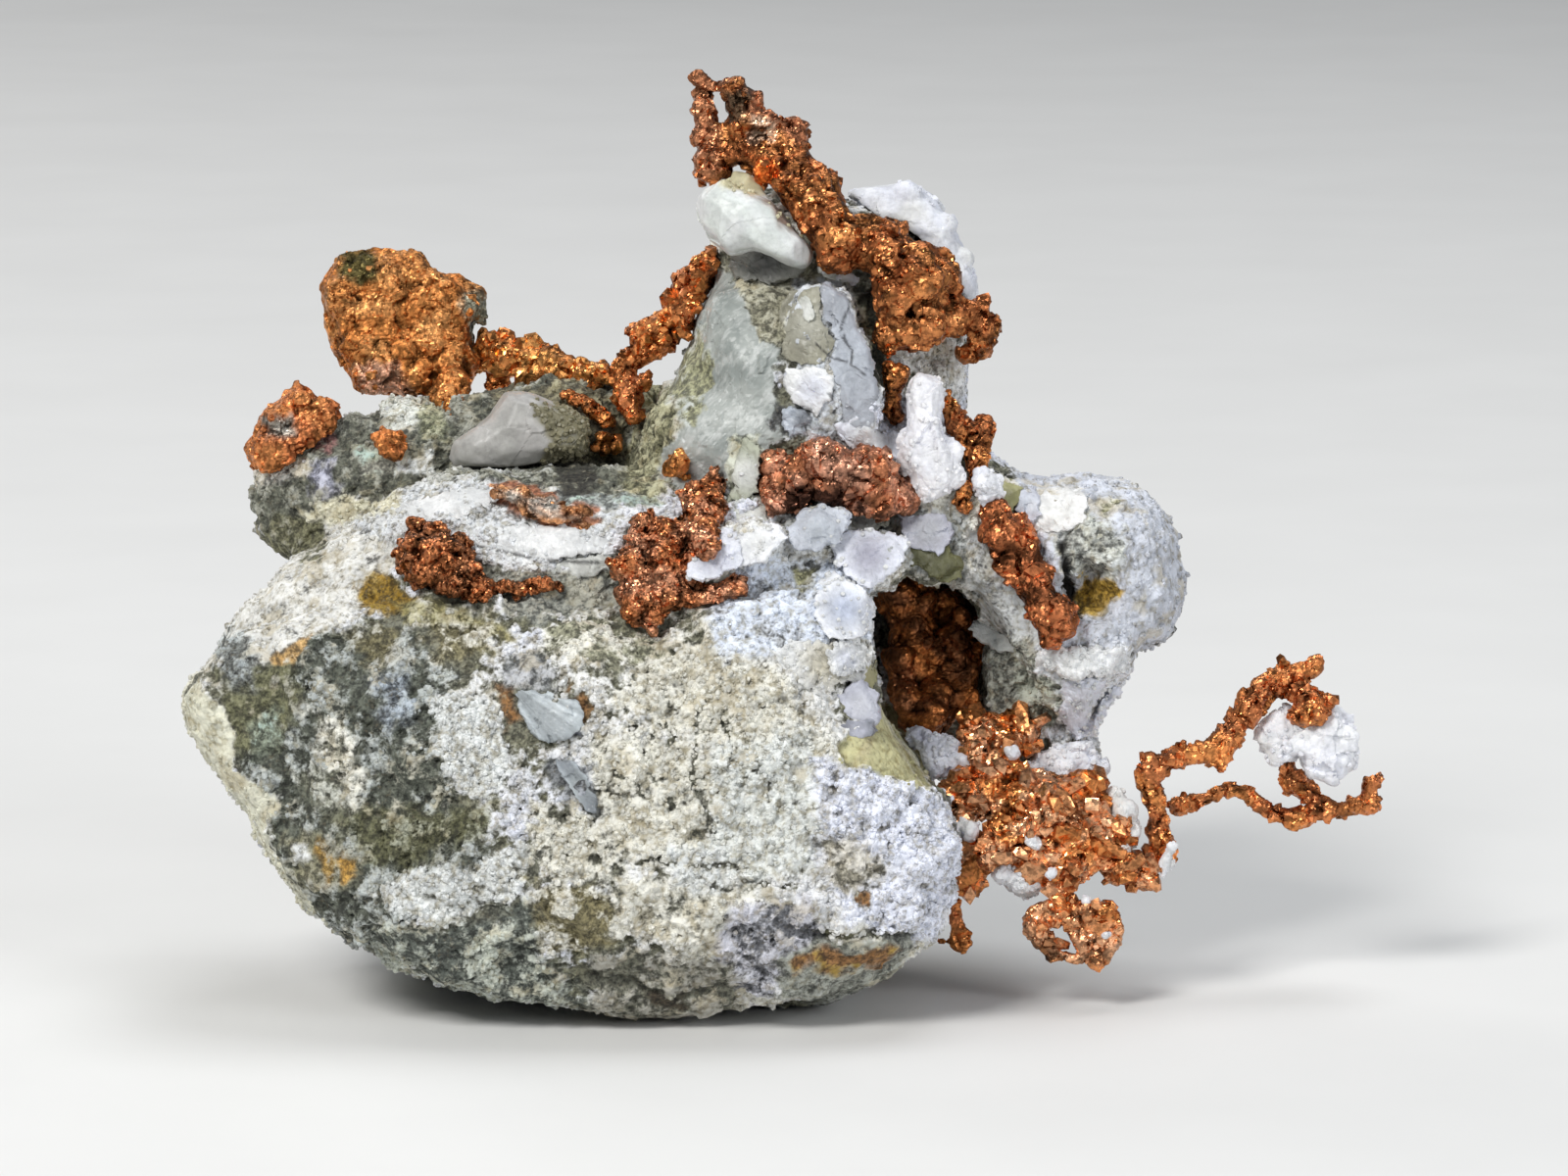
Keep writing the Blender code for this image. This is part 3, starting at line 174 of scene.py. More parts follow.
def settle(piece):
    """Applies the piece's modifiers to its mesh."""
    graph = bpy.context.evaluated_depsgraph_get()
    mesh = bpy.data.meshes.new_from_object(piece.evaluated_get(graph))
    piece.modifiers.clear()
    piece.data = mesh


def fine_skin(piece, voxel, smoothing, shrink=0.0):
    """Turns the piece's facets into an even fine skin and rounds them off."""
    if shrink:
        pull = piece.modifiers.new("shrink", "DISPLACE")
        pull.strength = -shrink * MM
        pull.mid_level = 0.0
    remesh = piece.modifiers.new("skin", "REMESH")
    remesh.mode = "VOXEL"
    remesh.voxel_size = voxel * MM
    smooth = piece.modifiers.new("smooth", "SMOOTH")
    smooth.factor = 0.5
    smooth.iterations = smoothing
    settle(piece)


def skin_arrays(mesh):
    """(places in mm, normals) of the mesh's vertices."""
    spots = np.empty(len(mesh.vertices) * 3, np.float32)
    mesh.vertices.foreach_get("co", spots)
    ways = np.empty(len(mesh.vertices) * 3, np.float32)
    mesh.vertices.foreach_get("normal", ways)
    return spots.reshape(-1, 3).astype(float) / MM, ways.reshape(-1, 3).astype(float)


def move_skin(mesh, spots):
    mesh.vertices.foreach_set("co", (spots * MM).astype(np.float32).reshape(-1))
    mesh.update()


def hollows(piece, passes):
    """How far each vertex lies below the piece's own shape when that is smoothed, in mm."""
    spots, ways = skin_arrays(piece.data)
    smooth = piece.modifiers.new("smooth", "SMOOTH")
    smooth.factor = 0.5
    smooth.iterations = passes
    evaluated = piece.evaluated_get(bpy.context.evaluated_depsgraph_get())
    calm = skin_arrays(evaluated.to_mesh())[0]
    evaluated.to_mesh_clear()
    piece.modifiers.clear()
    return ((calm - spots) * ways).sum(1)


def cloud(spots, size, octaves=1, seed=0):
    """Soft noise from about -1 to 1 at each place, with lumps of this size in mm."""
    shift = Vector((seed * 17.3, seed * 7.9, seed * 3.1))
    return np.array([noise.fractal(Vector(s) / size + shift, 1.0, 2.0, octaves) for s in spots])


def face_places(spots):
    """(across, up, depth) on the display face, in mm, of places in the standing frame."""
    x, y, z = (spots - np.array(SHIFT)).T
    z = z - FOOT_DEPTH * math.sin(LEAN)
    along = y * math.sin(LEAN) + z * math.cos(LEAN)
    depth = y * math.cos(LEAN) - z * math.sin(LEAN)
    spread = 1 + depth / VIEW_FROM
    across = VIEW_CENTRE[0] + (x - VIEW_CENTRE[0]) / spread
    up = VIEW_CENTRE[1] + (along - VIEW_CENTRE[1]) / spread
    return across, up, depth


def off_line(across, up, start, end):
    """How far each place is from the straight line between two places, in mm."""
    (ax, ay), (bx, by) = start, end
    ex, ey = bx - ax, by - ay
    share = np.clip(((across - ax) * ex + (up - ay) * ey) / (ex * ex + ey * ey), 0, 1)
    return np.hypot(across - ax - share * ex, up - ay - share * ey)


def inside_by(outline, across, up):
    """How far each place lies inside the outline, in mm, and negative outside it."""
    nearest, within = np.full(len(across), np.inf), np.zeros(len(across), bool)
    for (ax, ay), (bx, by) in zip(outline, outline[1:] + outline[:1]):
        nearest = np.minimum(nearest, off_line(across, up, (ax, ay), (bx, by)))
        crossing = ax + (up - ay) * (bx - ax) / (by - ay or 1)  # a level side is never crossed
        within ^= ((ay > up) != (by > up)) & (across < crossing)
    return np.where(within, nearest, -nearest)


def set_attribute(mesh, name, values):
    """Stores a number, or a colour, for each vertex."""
    if values.ndim == 1:
        mesh.attributes.new(name, "FLOAT", "POINT").data.foreach_set("value", values.astype(np.float32))
    else:
        colours = np.ones((len(values), 4), np.float32)
        colours[:, :3] = values
        mesh.attributes.new(name, "FLOAT_COLOR", "POINT").data.foreach_set("color", colours.reshape(-1))


# Colours of the rock's minerals
BARE, OLIVE = (0.20, 0.20, 0.155), (0.20, 0.195, 0.115)
WHITE, CREAM, BLUISH = (0.67, 0.69, 0.685), (0.685, 0.678, 0.615), (0.70, 0.725, 0.81)
BEIGE, KHAKI, OCHRE, RUST = (0.36, 0.355, 0.30), (0.36, 0.35, 0.20), (0.36, 0.24, 0.055), (0.28, 0.14, 0.05)
SLATE, TEAL, QUARTZ = (0.33, 0.36, 0.39), (0.42, 0.54, 0.49), (0.47, 0.50, 0.48)

# Coats on the display side: outline (across, up), softness of its edge, bare colour, crust colour, share of
# crust, height of the relief, and gloss. Later coats lie over earlier ones.
COATS = [
    ([(-27.2, 20.1), (-18.7, 20.1), (-16.2, 17.1), (-17.2, 14.1), (-15.7, 10.1), (-13.7, 7.1), (-18.2, 5.6),
      (-20.7, 2.1), (-25.2, 7.1), (-27.7, 14.1)], 0.8, (0.11, 0.12, 0.095), (0.44, 0.47, 0.46), 0.44, 1.1,
     0.1),
    ([(-28.9, 18.0), (-25.0, 18.6), (-24.0, 16.6), (-25.4, 14.0), (-27.6, 13.6)], 0.5, (0.17, 0.17, 0.095),
     BEIGE, 0.36, 0.7, 0.1),
    ([(-24.1, 16.0), (-22.3, 15.4), (-21.2, 13.0), (-21.3, 10.6), (-22.6, 10.6), (-23.2, 13.0)], 0.5, BARE,
     CREAM, 0.62, 1.0, 0.0),
    ([(-17.9, 16.6), (-16.0, 16.9), (-14.4, 16.3), (-13.8, 14.0), (-14.0, 11.9), (-15.6, 11.2),
      (-16.4, 12.2), (-17.4, 13.6)], 0.4, BARE, WHITE, 0.82, 1.0, 0.0),
    ([(-22.5, 10.6), (-17.5, 10.9), (-14.6, 11.0), (-14.8, 9.8), (-17.2, 8.6), (-19.0, 7.6), (-21.0, 8.2)],
     0.8, (0.13, 0.13, 0.07), (0.36, 0.37, 0.29), 0.42, 1.0, 0.0),
    ([(-20.7, 6.6), (-18.2, 7.9), (-15.0, 8.2), (-13.0, 9.6), (-12.0, 8.0), (-14.5, 5.4), (-18.0, 4.8)],
     0.4, BARE, WHITE, 0.74, 1.0, 0.0),
    ([(-21.0, 4.8), (-15.0, 5.0), (-12.5, 6.5), (-12.0, 3.5), (-9.0, 0.5), (-15.0, 0.5), (-20.0, 2.6)], 0.6,
     (0.13, 0.145, 0.125), (0.50, 0.53, 0.47), 0.5, 1.0, 0.0),
    ([(-12.7, 7.2), (-9.0, 7.0), (-7.6, 5.0), (-8.6, 3.4), (-12.0, 3.6)], 0.6, (0.24, 0.21, 0.11), CREAM,
     0.35, 1.0, 0.0),
    ([(-9.6, 14.6), (-6.5, 15.0), (-3.2, 13.6), (-3.2, 9.0), (-5.0, 7.6), (-9.4, 8.4), (-10.0, 11.0)], 0.8,
     BARE, CREAM, 0.78, 1.1, 0.0),
    ([(-7.4, 18.6), (-3.5, 18.9), (0.0, 18.2), (1.6, 15.4), (-1.5, 14.8), (-5.5, 14.6), (-8.2, 16.0)], 0.6,
     BARE, CREAM, 0.86, 1.2, 0.0),
    ([(-3.4, 14.2), (1.6, 15.0), (2.6, 12.0), (2.4, 8.0), (-1.4, 7.0), (-3.8, 9.0)], 0.7, BEIGE,
     (0.68, 0.70, 0.68), 0.88, 1.1, 0.0),
    ([(-8.2, 7.6), (-4.0, 7.2), (-1.2, 6.6), (-1.6, 4.4), (-5.0, 3.9), (-8.4, 4.6)], 0.6, BARE, CREAM, 0.74,
     1.0, 0.0),
    ([(-2.4, 5.9), (1.6, 6.2), (2.6, 3.6), (0.4, 1.4), (-2.0, 1.4), (-3.4, 3.0)], 0.5, (0.21, 0.215, 0.235),
     (0.53, 0.535, 0.59), 0.6, 0.9, 0.1),
    ([(-9.6, 3.6), (-2.4, 3.0), (-2.0, 0.6), (-5.0, -0.6), (-9.6, 0.0)], 0.5, (0.17, 0.17, 0.13),
     (0.36, 0.35, 0.31), 0.5, 0.5, 0.1),
    ([(-6.9, 1.7), (-4.8, 1.4), (-4.6, 0.7), (-6.4, 0.8)], 0.3, (0.07, 0.055, 0.035), BEIGE, 0.15, 0.5,
     0.1),
    ([(1.8, 13.2), (4.2, 13.2), (7.0, 12.2), (9.6, 9.6), (9.4, 4.2), (6.8, 4.0), (3.4, 5.2), (2.0, 8.4)],
     0.5, (0.5, 0.5, 0.5), BLUISH, 0.93, 1.1, 0.0),
    ([(2.2, 9.4), (4.6, 9.0), (5.6, 7.4), (3.8, 6.6), (2.4, 7.2)], 0.5, (0.30, 0.28, 0.22),
     (0.62, 0.6, 0.55), 0.6, 0.9, 0.0),
    ([(3.8, 6.6), (4.6, 6.6), (4.7, 5.8), (3.9, 5.8)], 0.25, RUST, BEIGE, 0.3, 0.6, 0.0),
    ([(0.0, 3.6), (3.0, 3.9), (6.8, 4.5), (6.4, 2.6), (3.0, 1.0), (0.0, 1.2)], 0.3, (0.26, 0.27, 0.235),
     (0.38, 0.395, 0.355), 0.45, 0.45, 0.15),
    ([(0.7, 3.2), (3.2, 3.5), (5.8, 3.7), (5.6, 3.0), (3.0, 2.5), (0.8, 2.6)], 0.35, RUST, OCHRE, 0.35, 0.5,
     0.1),
    ([(-12.2, 20.6), (-8.0, 20.6), (-5.4, 19.6), (-5.2, 18.4), (-8.0, 18.2), (-12.0, 18.6)], 0.6,
     (0.30, 0.30, 0.21), CREAM, 0.5, 0.9, 0.0),
    ([(-1.6, 23.6), (2.0, 23.6), (4.8, 23.0), (5.0, 19.6), (2.0, 18.4), (-3.0, 18.7), (-3.6, 20.6)], 0.5,
     (0.36, 0.37, 0.38), (0.66, 0.71, 0.80), 0.76, 0.8, 0.05),
    ([(0.8, 23.2), (1.9, 23.2), (1.9, 22.0), (0.9, 22.0)], 0.3, KHAKI, BEIGE, 0.2, 0.5, 0.1),
    ([(2.95, 13.9), (5.5, 16.3), (6.3, 15.7), (7.1, 14.3), (7.8, 11.6), (6.3, 12.2), (4.25, 12.9),
      (3.3, 13.1)], 0.15, (0.36, 0.345, 0.19), (0.44, 0.42, 0.235), 0.85, 0.10, 0.2),
    ([(-14.2, 17.3), (-13.4, 17.3), (-13.2, 15.4), (-13.9, 14.9)], 0.3, RUST, BARE, 0.25, 0.8, 0.0),
    ([(-10.8, 17.4), (-9.8, 16.6), (-9.6, 15.2), (-10.4, 15.4)], 0.3, RUST, BARE, 0.25, 0.8, 0.0),
    ([(-14.1, 18.5), (-11.8, 18.6), (-11.6, 16.9), (-13.8, 16.9)], 0.4, (0.22, 0.23, 0.23),
     (0.44, 0.45, 0.47), 0.45, 0.6, 0.1),
    ([(-11.9, 13.3), (-9.4, 13.0), (-9.0, 10.6), (-9.8, 9.8), (-11.4, 11.6)], 0.5, (0.20, 0.21, 0.22),
     (0.36, 0.38, 0.42), 0.45, 0.7, 0.1),
    ([(-11.2, 15.6), (-10.2, 15.6), (-9.8, 14.6), (-10.8, 14.2)], 0.3, (0.12, 0.13, 0.17),
     (0.30, 0.33, 0.36), 0.3, 0.6, 0.1),
    ([(-30.9, 16.2), (-30.2, 17.2), (-29.6, 17.4), (-28.6, 16.4), (-27.7, 15.1), (-27.5, 12.9),
      (-25.3, 11.2), (-26.2, 10.0), (-25.2, 8.1), (-23.8, 5.9), (-22.2, 4.1), (-22.6, 2.8), (-25.0, 5.0),
      (-26.8, 8.0), (-28.2, 10.6), (-29.2, 12.9), (-31.4, 14.2)], 0.2, BEIGE, (0.60, 0.595, 0.49), 0.95,
     0.22, 0.05),
    ([(-29.6, 18.0), (-25.9, 18.2), (-22.9, 20.0), (-21.4, 20.8), (-20.2, 22.3), (-19.4, 23.6),
      (-18.4, 25.6), (-16.6, 27.8), (-20.4, 26.8), (-24.9, 24.0), (-27.9, 21.2)], 0.35, (0.40, 0.40, 0.37),
     (0.64, 0.64, 0.615), 0.80, 0.35, 0.05),
    ([(-22.2, 25.3), (-18.4, 27.4), (-14.6, 27.8), (-7.6, 27.0), (-8.5, 24.3), (-8.6, 23.0), (-12.8, 22.7),
      (-15.4, 23.4), (-19.1, 24.2)], 0.3, (0.36, 0.37, 0.37), (0.63, 0.65, 0.67), 0.76, 0.8, 0.05),
    ([(-15.0, 27.3), (-12.6, 27.3), (-9.4, 26.4), (-8.8, 25.3), (-10.2, 25.1), (-13.6, 26.0)], 0.25,
     (0.40, 0.17, 0.095), WHITE, 0.36, 0.4, 0.1),
    ([(-15.0, 27.3), (-13.6, 27.6), (-11.5, 27.1), (-11.7, 26.7), (-14.2, 26.9)], 0.12,
     (0.36, 0.135, 0.065), (0.46, 0.21, 0.12), 0.5, 0.25, 0.1),
    ([(-14.8, 26.7), (-12.6, 26.6), (-10.2, 26.1), (-10.6, 25.8), (-13.2, 26.1)], 0.12,
     (0.36, 0.135, 0.065), (0.46, 0.21, 0.12), 0.5, 0.25, 0.1),
    ([(-13.6, 25.9), (-11.4, 25.7), (-9.0, 25.5), (-9.6, 25.0), (-12.4, 25.3)], 0.12, (0.36, 0.135, 0.065),
     (0.46, 0.21, 0.12), 0.5, 0.25, 0.1),
    ([(-11.4, 27.2), (-6.4, 27.0), (-6.0, 26.2), (-11.0, 26.4)], 0.3, (0.34, 0.37, 0.35), TEAL, 0.5, 0.5,
     0.1),
    ([(-14.5, 22.8), (-8.6, 22.9), (-7.2, 21.0), (-12.0, 20.4), (-15.0, 21.2)], 0.4, (0.33, 0.34, 0.30),
     BEIGE, 0.5, 0.8, 0.0),
    ([(-21.6, 22.3), (-20.6, 22.9), (-19.6, 22.5), (-18.4, 21.6), (-19.0, 20.7), (-20.6, 20.8),
      (-21.4, 21.4)], 0.3, (0.28, 0.17, 0.02), (0.38, 0.26, 0.045), 0.30, 0.5, 0.1),
    ([(-19.6, 21.4), (-16.8, 21.2), (-14.6, 20.4), (-13.4, 19.5), (-16.0, 19.4), (-19.0, 20.3)], 0.5,
     (0.30, 0.27, 0.12), (0.44, 0.42, 0.27), 0.45, 0.7, 0.05),
    ([(-26.0, 18.3), (-25.0, 19.2), (-23.8, 19.7), (-24.1, 18.9), (-25.2, 18.1)], 0.2, (0.58, 0.37, 0.15),
     CREAM, 0.36, 0.4, 0.05),
    ([(-25.0, 9.4), (-22.8, 9.8), (-21.2, 8.6), (-21.5, 6.7), (-22.8, 6.4), (-24.4, 6.9)], 0.6,
     (0.24, 0.23, 0.15), BEIGE, 0.45, 0.7, 0.05),
    ([(-23.5, 9.2), (-22.9, 9.4), (-22.5, 7.6), (-22.9, 6.8), (-23.4, 7.6)], 0.3, (0.46, 0.29, 0.08), BEIGE,
     0.3, 0.6, 0.05),
    ([(-22.3, 8.6), (-21.8, 8.7), (-21.6, 7.3), (-22.1, 7.0)], 0.25, (0.52, 0.30, 0.07), BEIGE, 0.2, 0.6,
     0.05),
    ([(-24.6, 8.9), (-24.0, 8.9), (-23.9, 8.2), (-24.5, 8.1)], 0.25, WHITE, WHITE, 0.9, 0.6, 0.05),
    ([(-27.4, 29.2), (-24.7, 30.2), (-20.0, 31.8), (-12.7, 32.7), (-6.4, 33.0), (-5.6, 29.4), (-8.2, 27.0),
      (-14.4, 27.6), (-18.0, 27.6), (-21.6, 26.6), (-26.8, 24.4)], 0.3, (0.13, 0.135, 0.105),
     (0.33, 0.335, 0.29), 0.42, 1.0, 0.05),
    ([(-14.6, 32.0), (-9.6, 32.6), (-7.2, 31.0), (-8.4, 28.6), (-12.4, 28.4)], 0.4, (0.17, 0.155, 0.10),
     (0.33, 0.31, 0.20), 0.4, 0.9, 0.0),
    ([(-21.6, 29.2), (-19.5, 29.0), (-19.5, 27.9), (-21.4, 28.0)], 0.4, BEIGE, TEAL, 0.6, 0.6, 0.1),
    ([(-23.8, 27.8), (-22.6, 27.8), (-22.6, 26.7), (-23.7, 26.6)], 0.3, (0.36, 0.36, 0.42), BEIGE, 0.3, 0.6,
     0.1),
    ([(-24.5, 26.4), (-19.4, 26.9), (-19.3, 26.0), (-24.0, 25.0)], 0.3, BEIGE, (0.70, 0.68, 0.54), 0.75,
     0.6, 0.0),
    ([(-26.0, 25.6), (-23.0, 25.8), (-23.2, 23.6), (-26.0, 23.6)], 0.4, OLIVE, BEIGE, 0.3, 0.7, 0.0),
    ([(-27.0, 28.7), (-25.2, 29.2), (-23.8, 28.6), (-24.2, 27.7), (-26.6, 27.2)], 0.3, (0.36, 0.36, 0.33),
     (0.64, 0.62, 0.56), 0.72, 0.6, 0.0),
    ([(-24.2, 28.4), (-22.7, 28.6), (-22.4, 27.3), (-24.0, 27.2)], 0.3, (0.33, 0.34, 0.42),
     (0.50, 0.51, 0.60), 0.5, 0.6, 0.1),
    ([(-23.8, 30.4), (-22.9, 30.3), (-22.8, 29.0), (-23.5, 28.9)], 0.2, (0.26, 0.13, 0.12), BEIGE, 0.3, 0.5,
     0.0),
    ([(-20.6, 32.4), (-18.4, 32.2), (-17.6, 30.4), (-19.8, 30.0)], 0.3, (0.45, 0.46, 0.43),
     (0.66, 0.68, 0.64), 0.8, 0.9, 0.0),
    ([(-19.8, 28.6), (-17.6, 29.0), (-17.4, 27.8), (-19.6, 27.7)], 0.25, BEIGE, WHITE, 0.75, 0.4, 0.0),
    ([(-18.6, 31.2), (-17.2, 31.4), (-16.9, 29.6), (-18.2, 29.6)], 0.3, (0.26, 0.27, 0.17),
     (0.46, 0.46, 0.33), 0.5, 0.9, 0.0),
    ([(-11.4, 28.4), (-9.4, 28.4), (-9.3, 26.9), (-11.2, 27.0)], 0.3, (0.04, 0.038, 0.03), BARE, 0.1, 0.6,
     0.0),
    ([(-6.9, 33.7), (-5.4, 33.7), (-5.2, 28.0), (-6.0, 26.5), (-8.0, 27.0), (-7.6, 30.0)], 0.4, OLIVE,
     (0.46, 0.45, 0.30), 0.45, 0.8, 0.05),
    ([(-3.2, 38.4), (0.0, 37.6), (0.1, 34.6), (-0.2, 32.1), (0.3, 30.1), (-1.2, 27.7), (-4.7, 27.3),
      (-6.2, 27.8), (-5.2, 30.1), (-5.4, 33.1), (-4.6, 35.8)], 0.3, (0.34, 0.365, 0.35), QUARTZ, 0.55, 0.3,
     0.9),
    ([(-4.9, 35.6), (-3.9, 35.6), (-3.2, 33.4), (-3.9, 30.4), (-5.4, 30.0), (-5.4, 33.0)], 0.4,
     (0.34, 0.34, 0.20), QUARTZ, 0.35, 0.4, 0.4),
    ([(-2.9, 38.4), (2.8, 38.4), (2.3, 36.1), (0.4, 34.4), (-1.0, 34.8), (-1.6, 36.4)], 0.4,
     (0.30, 0.29, 0.21), (0.47, 0.46, 0.37), 0.55, 0.6, 0.1),
    # Dark grey under the cap: painted shadow of the cap
    ([(-1.6, 39.6), (0.6, 39.6), (0.6, 37.8), (-1.4, 37.6)], 0.3, (0.13, 0.13, 0.11), BEIGE, 0.15, 0.6,
     0.0),
    ([(0.6, 37.9), (3.6, 37.9), (4.4, 35.0), (5.4, 31.8), (5.0, 29.4), (2.6, 28.8), (0.2, 30.8),
      (0.9, 34.0)], 0.25, (0.30, 0.31, 0.31), (0.55, 0.58, 0.62), 0.66, 0.5, 0.1),
    ([(-0.2, 31.4), (1.9, 31.3), (2.2, 30.2), (0.6, 29.8), (-0.3, 30.4)], 0.3, (0.07, 0.07, 0.07), SLATE,
     0.45, 1.0, 0.0),
    ([(-2.6, 29.9), (-0.6, 29.9), (-0.7, 26.9), (-2.6, 26.3)], 0.3, (0.36, 0.38, 0.30), (0.52, 0.54, 0.46),
     0.5, 0.4, 0.1),
    ([(3.9, 37.6), (5.6, 37.2), (5.8, 33.0), (4.8, 31.8), (4.4, 34.6)], 0.3, (0.045, 0.045, 0.03), OLIVE,
     0.2, 0.6, 0.0),
    ([(0.0, 26.9), (9.6, 26.2), (9.6, 22.6), (4.6, 23.4), (0.0, 25.0)], 0.4, (0.20, 0.21, 0.19),
     (0.40, 0.42, 0.42), 0.5, 0.7, 0.1),
    ([(4.4, 31.6), (8.6, 32.2), (9.6, 29.4), (6.6, 28.6), (5.0, 29.8)], 0.3, (0.5, 0.5, 0.5), BLUISH, 0.85,
     0.8, 0.05),
    ([(9.6, 24.8), (11.8, 24.8), (14.2, 21.0), (14.8, 18.6), (12.6, 17.6), (10.6, 20.6)], 0.3,
     (0.34, 0.35, 0.35), (0.52, 0.54, 0.55), 0.7, 0.15, 0.1),
    ([(12.0, 28.4), (16.4, 28.4), (21.0, 26.4), (21.2, 20.4), (18.0, 18.4), (14.2, 19.4), (12.6, 24.0)],
     0.4, (0.42, 0.43, 0.44), (0.52, 0.545, 0.605), 0.96, 0.5, 0.14),
    ([(13.9, 25.6), (16.0, 26.2), (17.6, 24.4), (17.2, 22.6), (14.8, 22.8)], 0.5, (0.36, 0.37, 0.34),
     (0.60, 0.62, 0.58), 0.5, 0.9, 0.0),
    ([(15.4, 22.6), (16.3, 22.8), (17.7, 21.9), (16.9, 21.2), (15.9, 20.4), (15.3, 20.7)], 0.25,
     (0.46, 0.29, 0.045), (0.62, 0.43, 0.11), 0.5, 0.6, 0.05),
    # Near-black along the lobe's crack: painted shade
    ([(14.4, 24.8), (14.7, 24.8), (14.9, 22.8), (15.5, 20.8), (15.0, 20.5), (14.5, 22.4)], 0.12,
     (0.035, 0.03, 0.022), OLIVE, 0.1, 0.4, 0.0),
    ([(12.6, 27.2), (15.2, 27.4), (15.6, 25.6), (14.4, 24.9), (12.9, 25.2)], 0.3, WHITE,
     (0.66, 0.66, 0.655), 0.9, 0.3, 0.1),
    ([(11.4, 27.5), (12.4, 27.2), (12.2, 26.0), (11.5, 26.2)], 0.25, KHAKI, BEIGE, 0.4, 0.5, 0.1),
    ([(16.4, 26.6), (17.4, 26.7), (17.4, 25.9), (16.5, 25.9)], 0.4, KHAKI, CREAM, 0.6, 0.8, 0.0),
    ([(12.9, 19.2), (18.1, 19.2), (17.9, 16.1), (13.4, 16.1)], 0.4, (0.40, 0.40, 0.39), (0.72, 0.74, 0.78),
     0.75, 0.9, 0.0),
    ([(10.6, 19.5), (12.9, 19.5), (13.4, 16.2), (12.6, 13.0), (10.2, 15.4)], 0.4, (0.25, 0.255, 0.22),
     (0.44, 0.45, 0.40), 0.46, 0.9, 0.0),
    ([(14.2, 17.6), (16.4, 17.7), (16.6, 14.4), (13.9, 14.2)], 0.3, (0.32, 0.32, 0.31), (0.58, 0.60, 0.64),
     0.6, 0.6, 0.1),
    ([(12.2, 18.2), (13.4, 17.8), (14.3, 16.8), (14.0, 15.2), (12.8, 14.8), (12.2, 16.4)], 0.35,
     (0.24, 0.25, 0.20), (0.42, 0.44, 0.38), 0.48, 1.0, 0.0),
    ([(-12.6, 10.9), (-9.6, 10.8), (-8.2, 9.0), (-8.4, 7.0), (-11.0, 6.8), (-12.8, 8.6)], 0.6, BARE, CREAM,
     0.72, 1.1, 0.0),
    ([(-5.6, 8.8), (-3.0, 8.8), (-2.4, 7.6), (-2.8, 6.4), (-5.2, 6.6)], 0.5, BEIGE, WHITE, 0.78, 1.1, 0.0),
    ([(-28.7, 19.4), (-27.4, 19.8), (-26.4, 18.4), (-27.0, 16.8), (-28.4, 17.4)], 0.6, (0.17, 0.18, 0.17),
     (0.42, 0.46, 0.47), 0.45, 0.9, 0.0),
    ([(-22.0, 20.0), (-19.6, 20.0), (-18.8, 18.4), (-21.0, 17.8)], 0.6, (0.20, 0.18, 0.10),
     (0.46, 0.46, 0.42), 0.42, 1.0, 0.0),
    ([(-18.0, 20.4), (-14.8, 20.2), (-14.4, 18.6), (-17.2, 18.2)], 0.6, (0.24, 0.215, 0.12), CREAM, 0.5,
     1.0, 0.0),
    ([(-24.6, 12.6), (-22.6, 12.8), (-21.8, 10.8), (-24.0, 10.6)], 0.6, (0.17, 0.175, 0.13),
     (0.50, 0.51, 0.46), 0.5, 1.0, 0.0),
    ([(-27.0, 15.4), (-25.8, 15.8), (-25.2, 14.2), (-26.6, 13.4)], 0.5, (0.22, 0.25, 0.19), TEAL, 0.4, 0.9,
     0.0),
    ([(-20.8, 17.6), (-19.0, 17.9), (-18.4, 15.6), (-19.9, 14.8)], 0.6, (0.16, 0.18, 0.20),
     (0.40, 0.45, 0.50), 0.45, 0.9, 0.0),
]


def tinge(colours, tint, share):
    """Rows of colours, or one colour, turning into the tint as each place's share goes from 0 to 1."""
    return np.array(colours) + (np.array(tint) - np.array(colours)) * share[:, None]


def lay_coats(spots, ways):
    """Bare colour, crust colour, share of crust, relief and gloss of the rock at each place."""
    wander = np.stack([cloud(spots, 1.4, 3, seed) for seed in (1, 2)])
    grit = cloud(spots, 0.6, 3, 61)
    across, up, _ = face_places(spots)
    across, up = across + 0.35 * wander[0], up + 0.35 * wander[1]
    broad, broad_too = cloud(spots, 9.0, 2, 3), cloud(spots, 6.0, 2, 4)
    front = np.clip((0.35 - ways @ np.array((0, math.cos(LEAN), -math.sin(LEAN)))) / 0.5, 0, 1)
    bare = tinge(BARE, OLIVE, np.clip(0.5 + 1.3 * broad_too, 0, 1))
    crust = tinge(CREAM, BLUISH, np.clip(0.5 + 1.2 * broad, 0, 1))
    cover = np.clip(0.5 + 1.1 * broad_too - 0.5 * broad, 0.1, 0.92)
    relief, gloss = np.full(len(spots), 1.0), np.zeros(len(spots))
    for outline, soft, coat_bare, coat_crust, coat_cover, coat_relief, coat_gloss in COATS:
        inside = inside_by(outline, across, up) + 0.9 * soft * grit
        share = np.clip(0.5 + inside / soft, 0, 1) * front
        bare, crust = tinge(bare, coat_bare, share), tinge(crust, coat_crust, share)
        cover = cover + (coat_cover - cover) * share
        relief = relief + (coat_relief - relief) * share
        gloss = gloss + (coat_gloss - gloss) * share
    return bare, crust, cover, relief, gloss


def cauliflower(spots, size, seed=0):
    """Round lumps of this size in mm: 1 on their tops, 0 or less in the sharp creases between them."""
    shift = Vector((seed * 9.1, seed * 4.7, seed * 13.3))
    reach = 0.62  # from a lump's middle to its crease, in sizes
    return np.array([1 - (noise.voronoi(Vector(s) / size + shift)[0][0] / reach) ** 2 for s in spots])


def rise(values, low, high):
    """A smooth step from 0 to 1 as values go from low to high."""
    share = np.clip((values - low) / (high - low), 0, 1)
    return share * share * (3 - 2 * share)
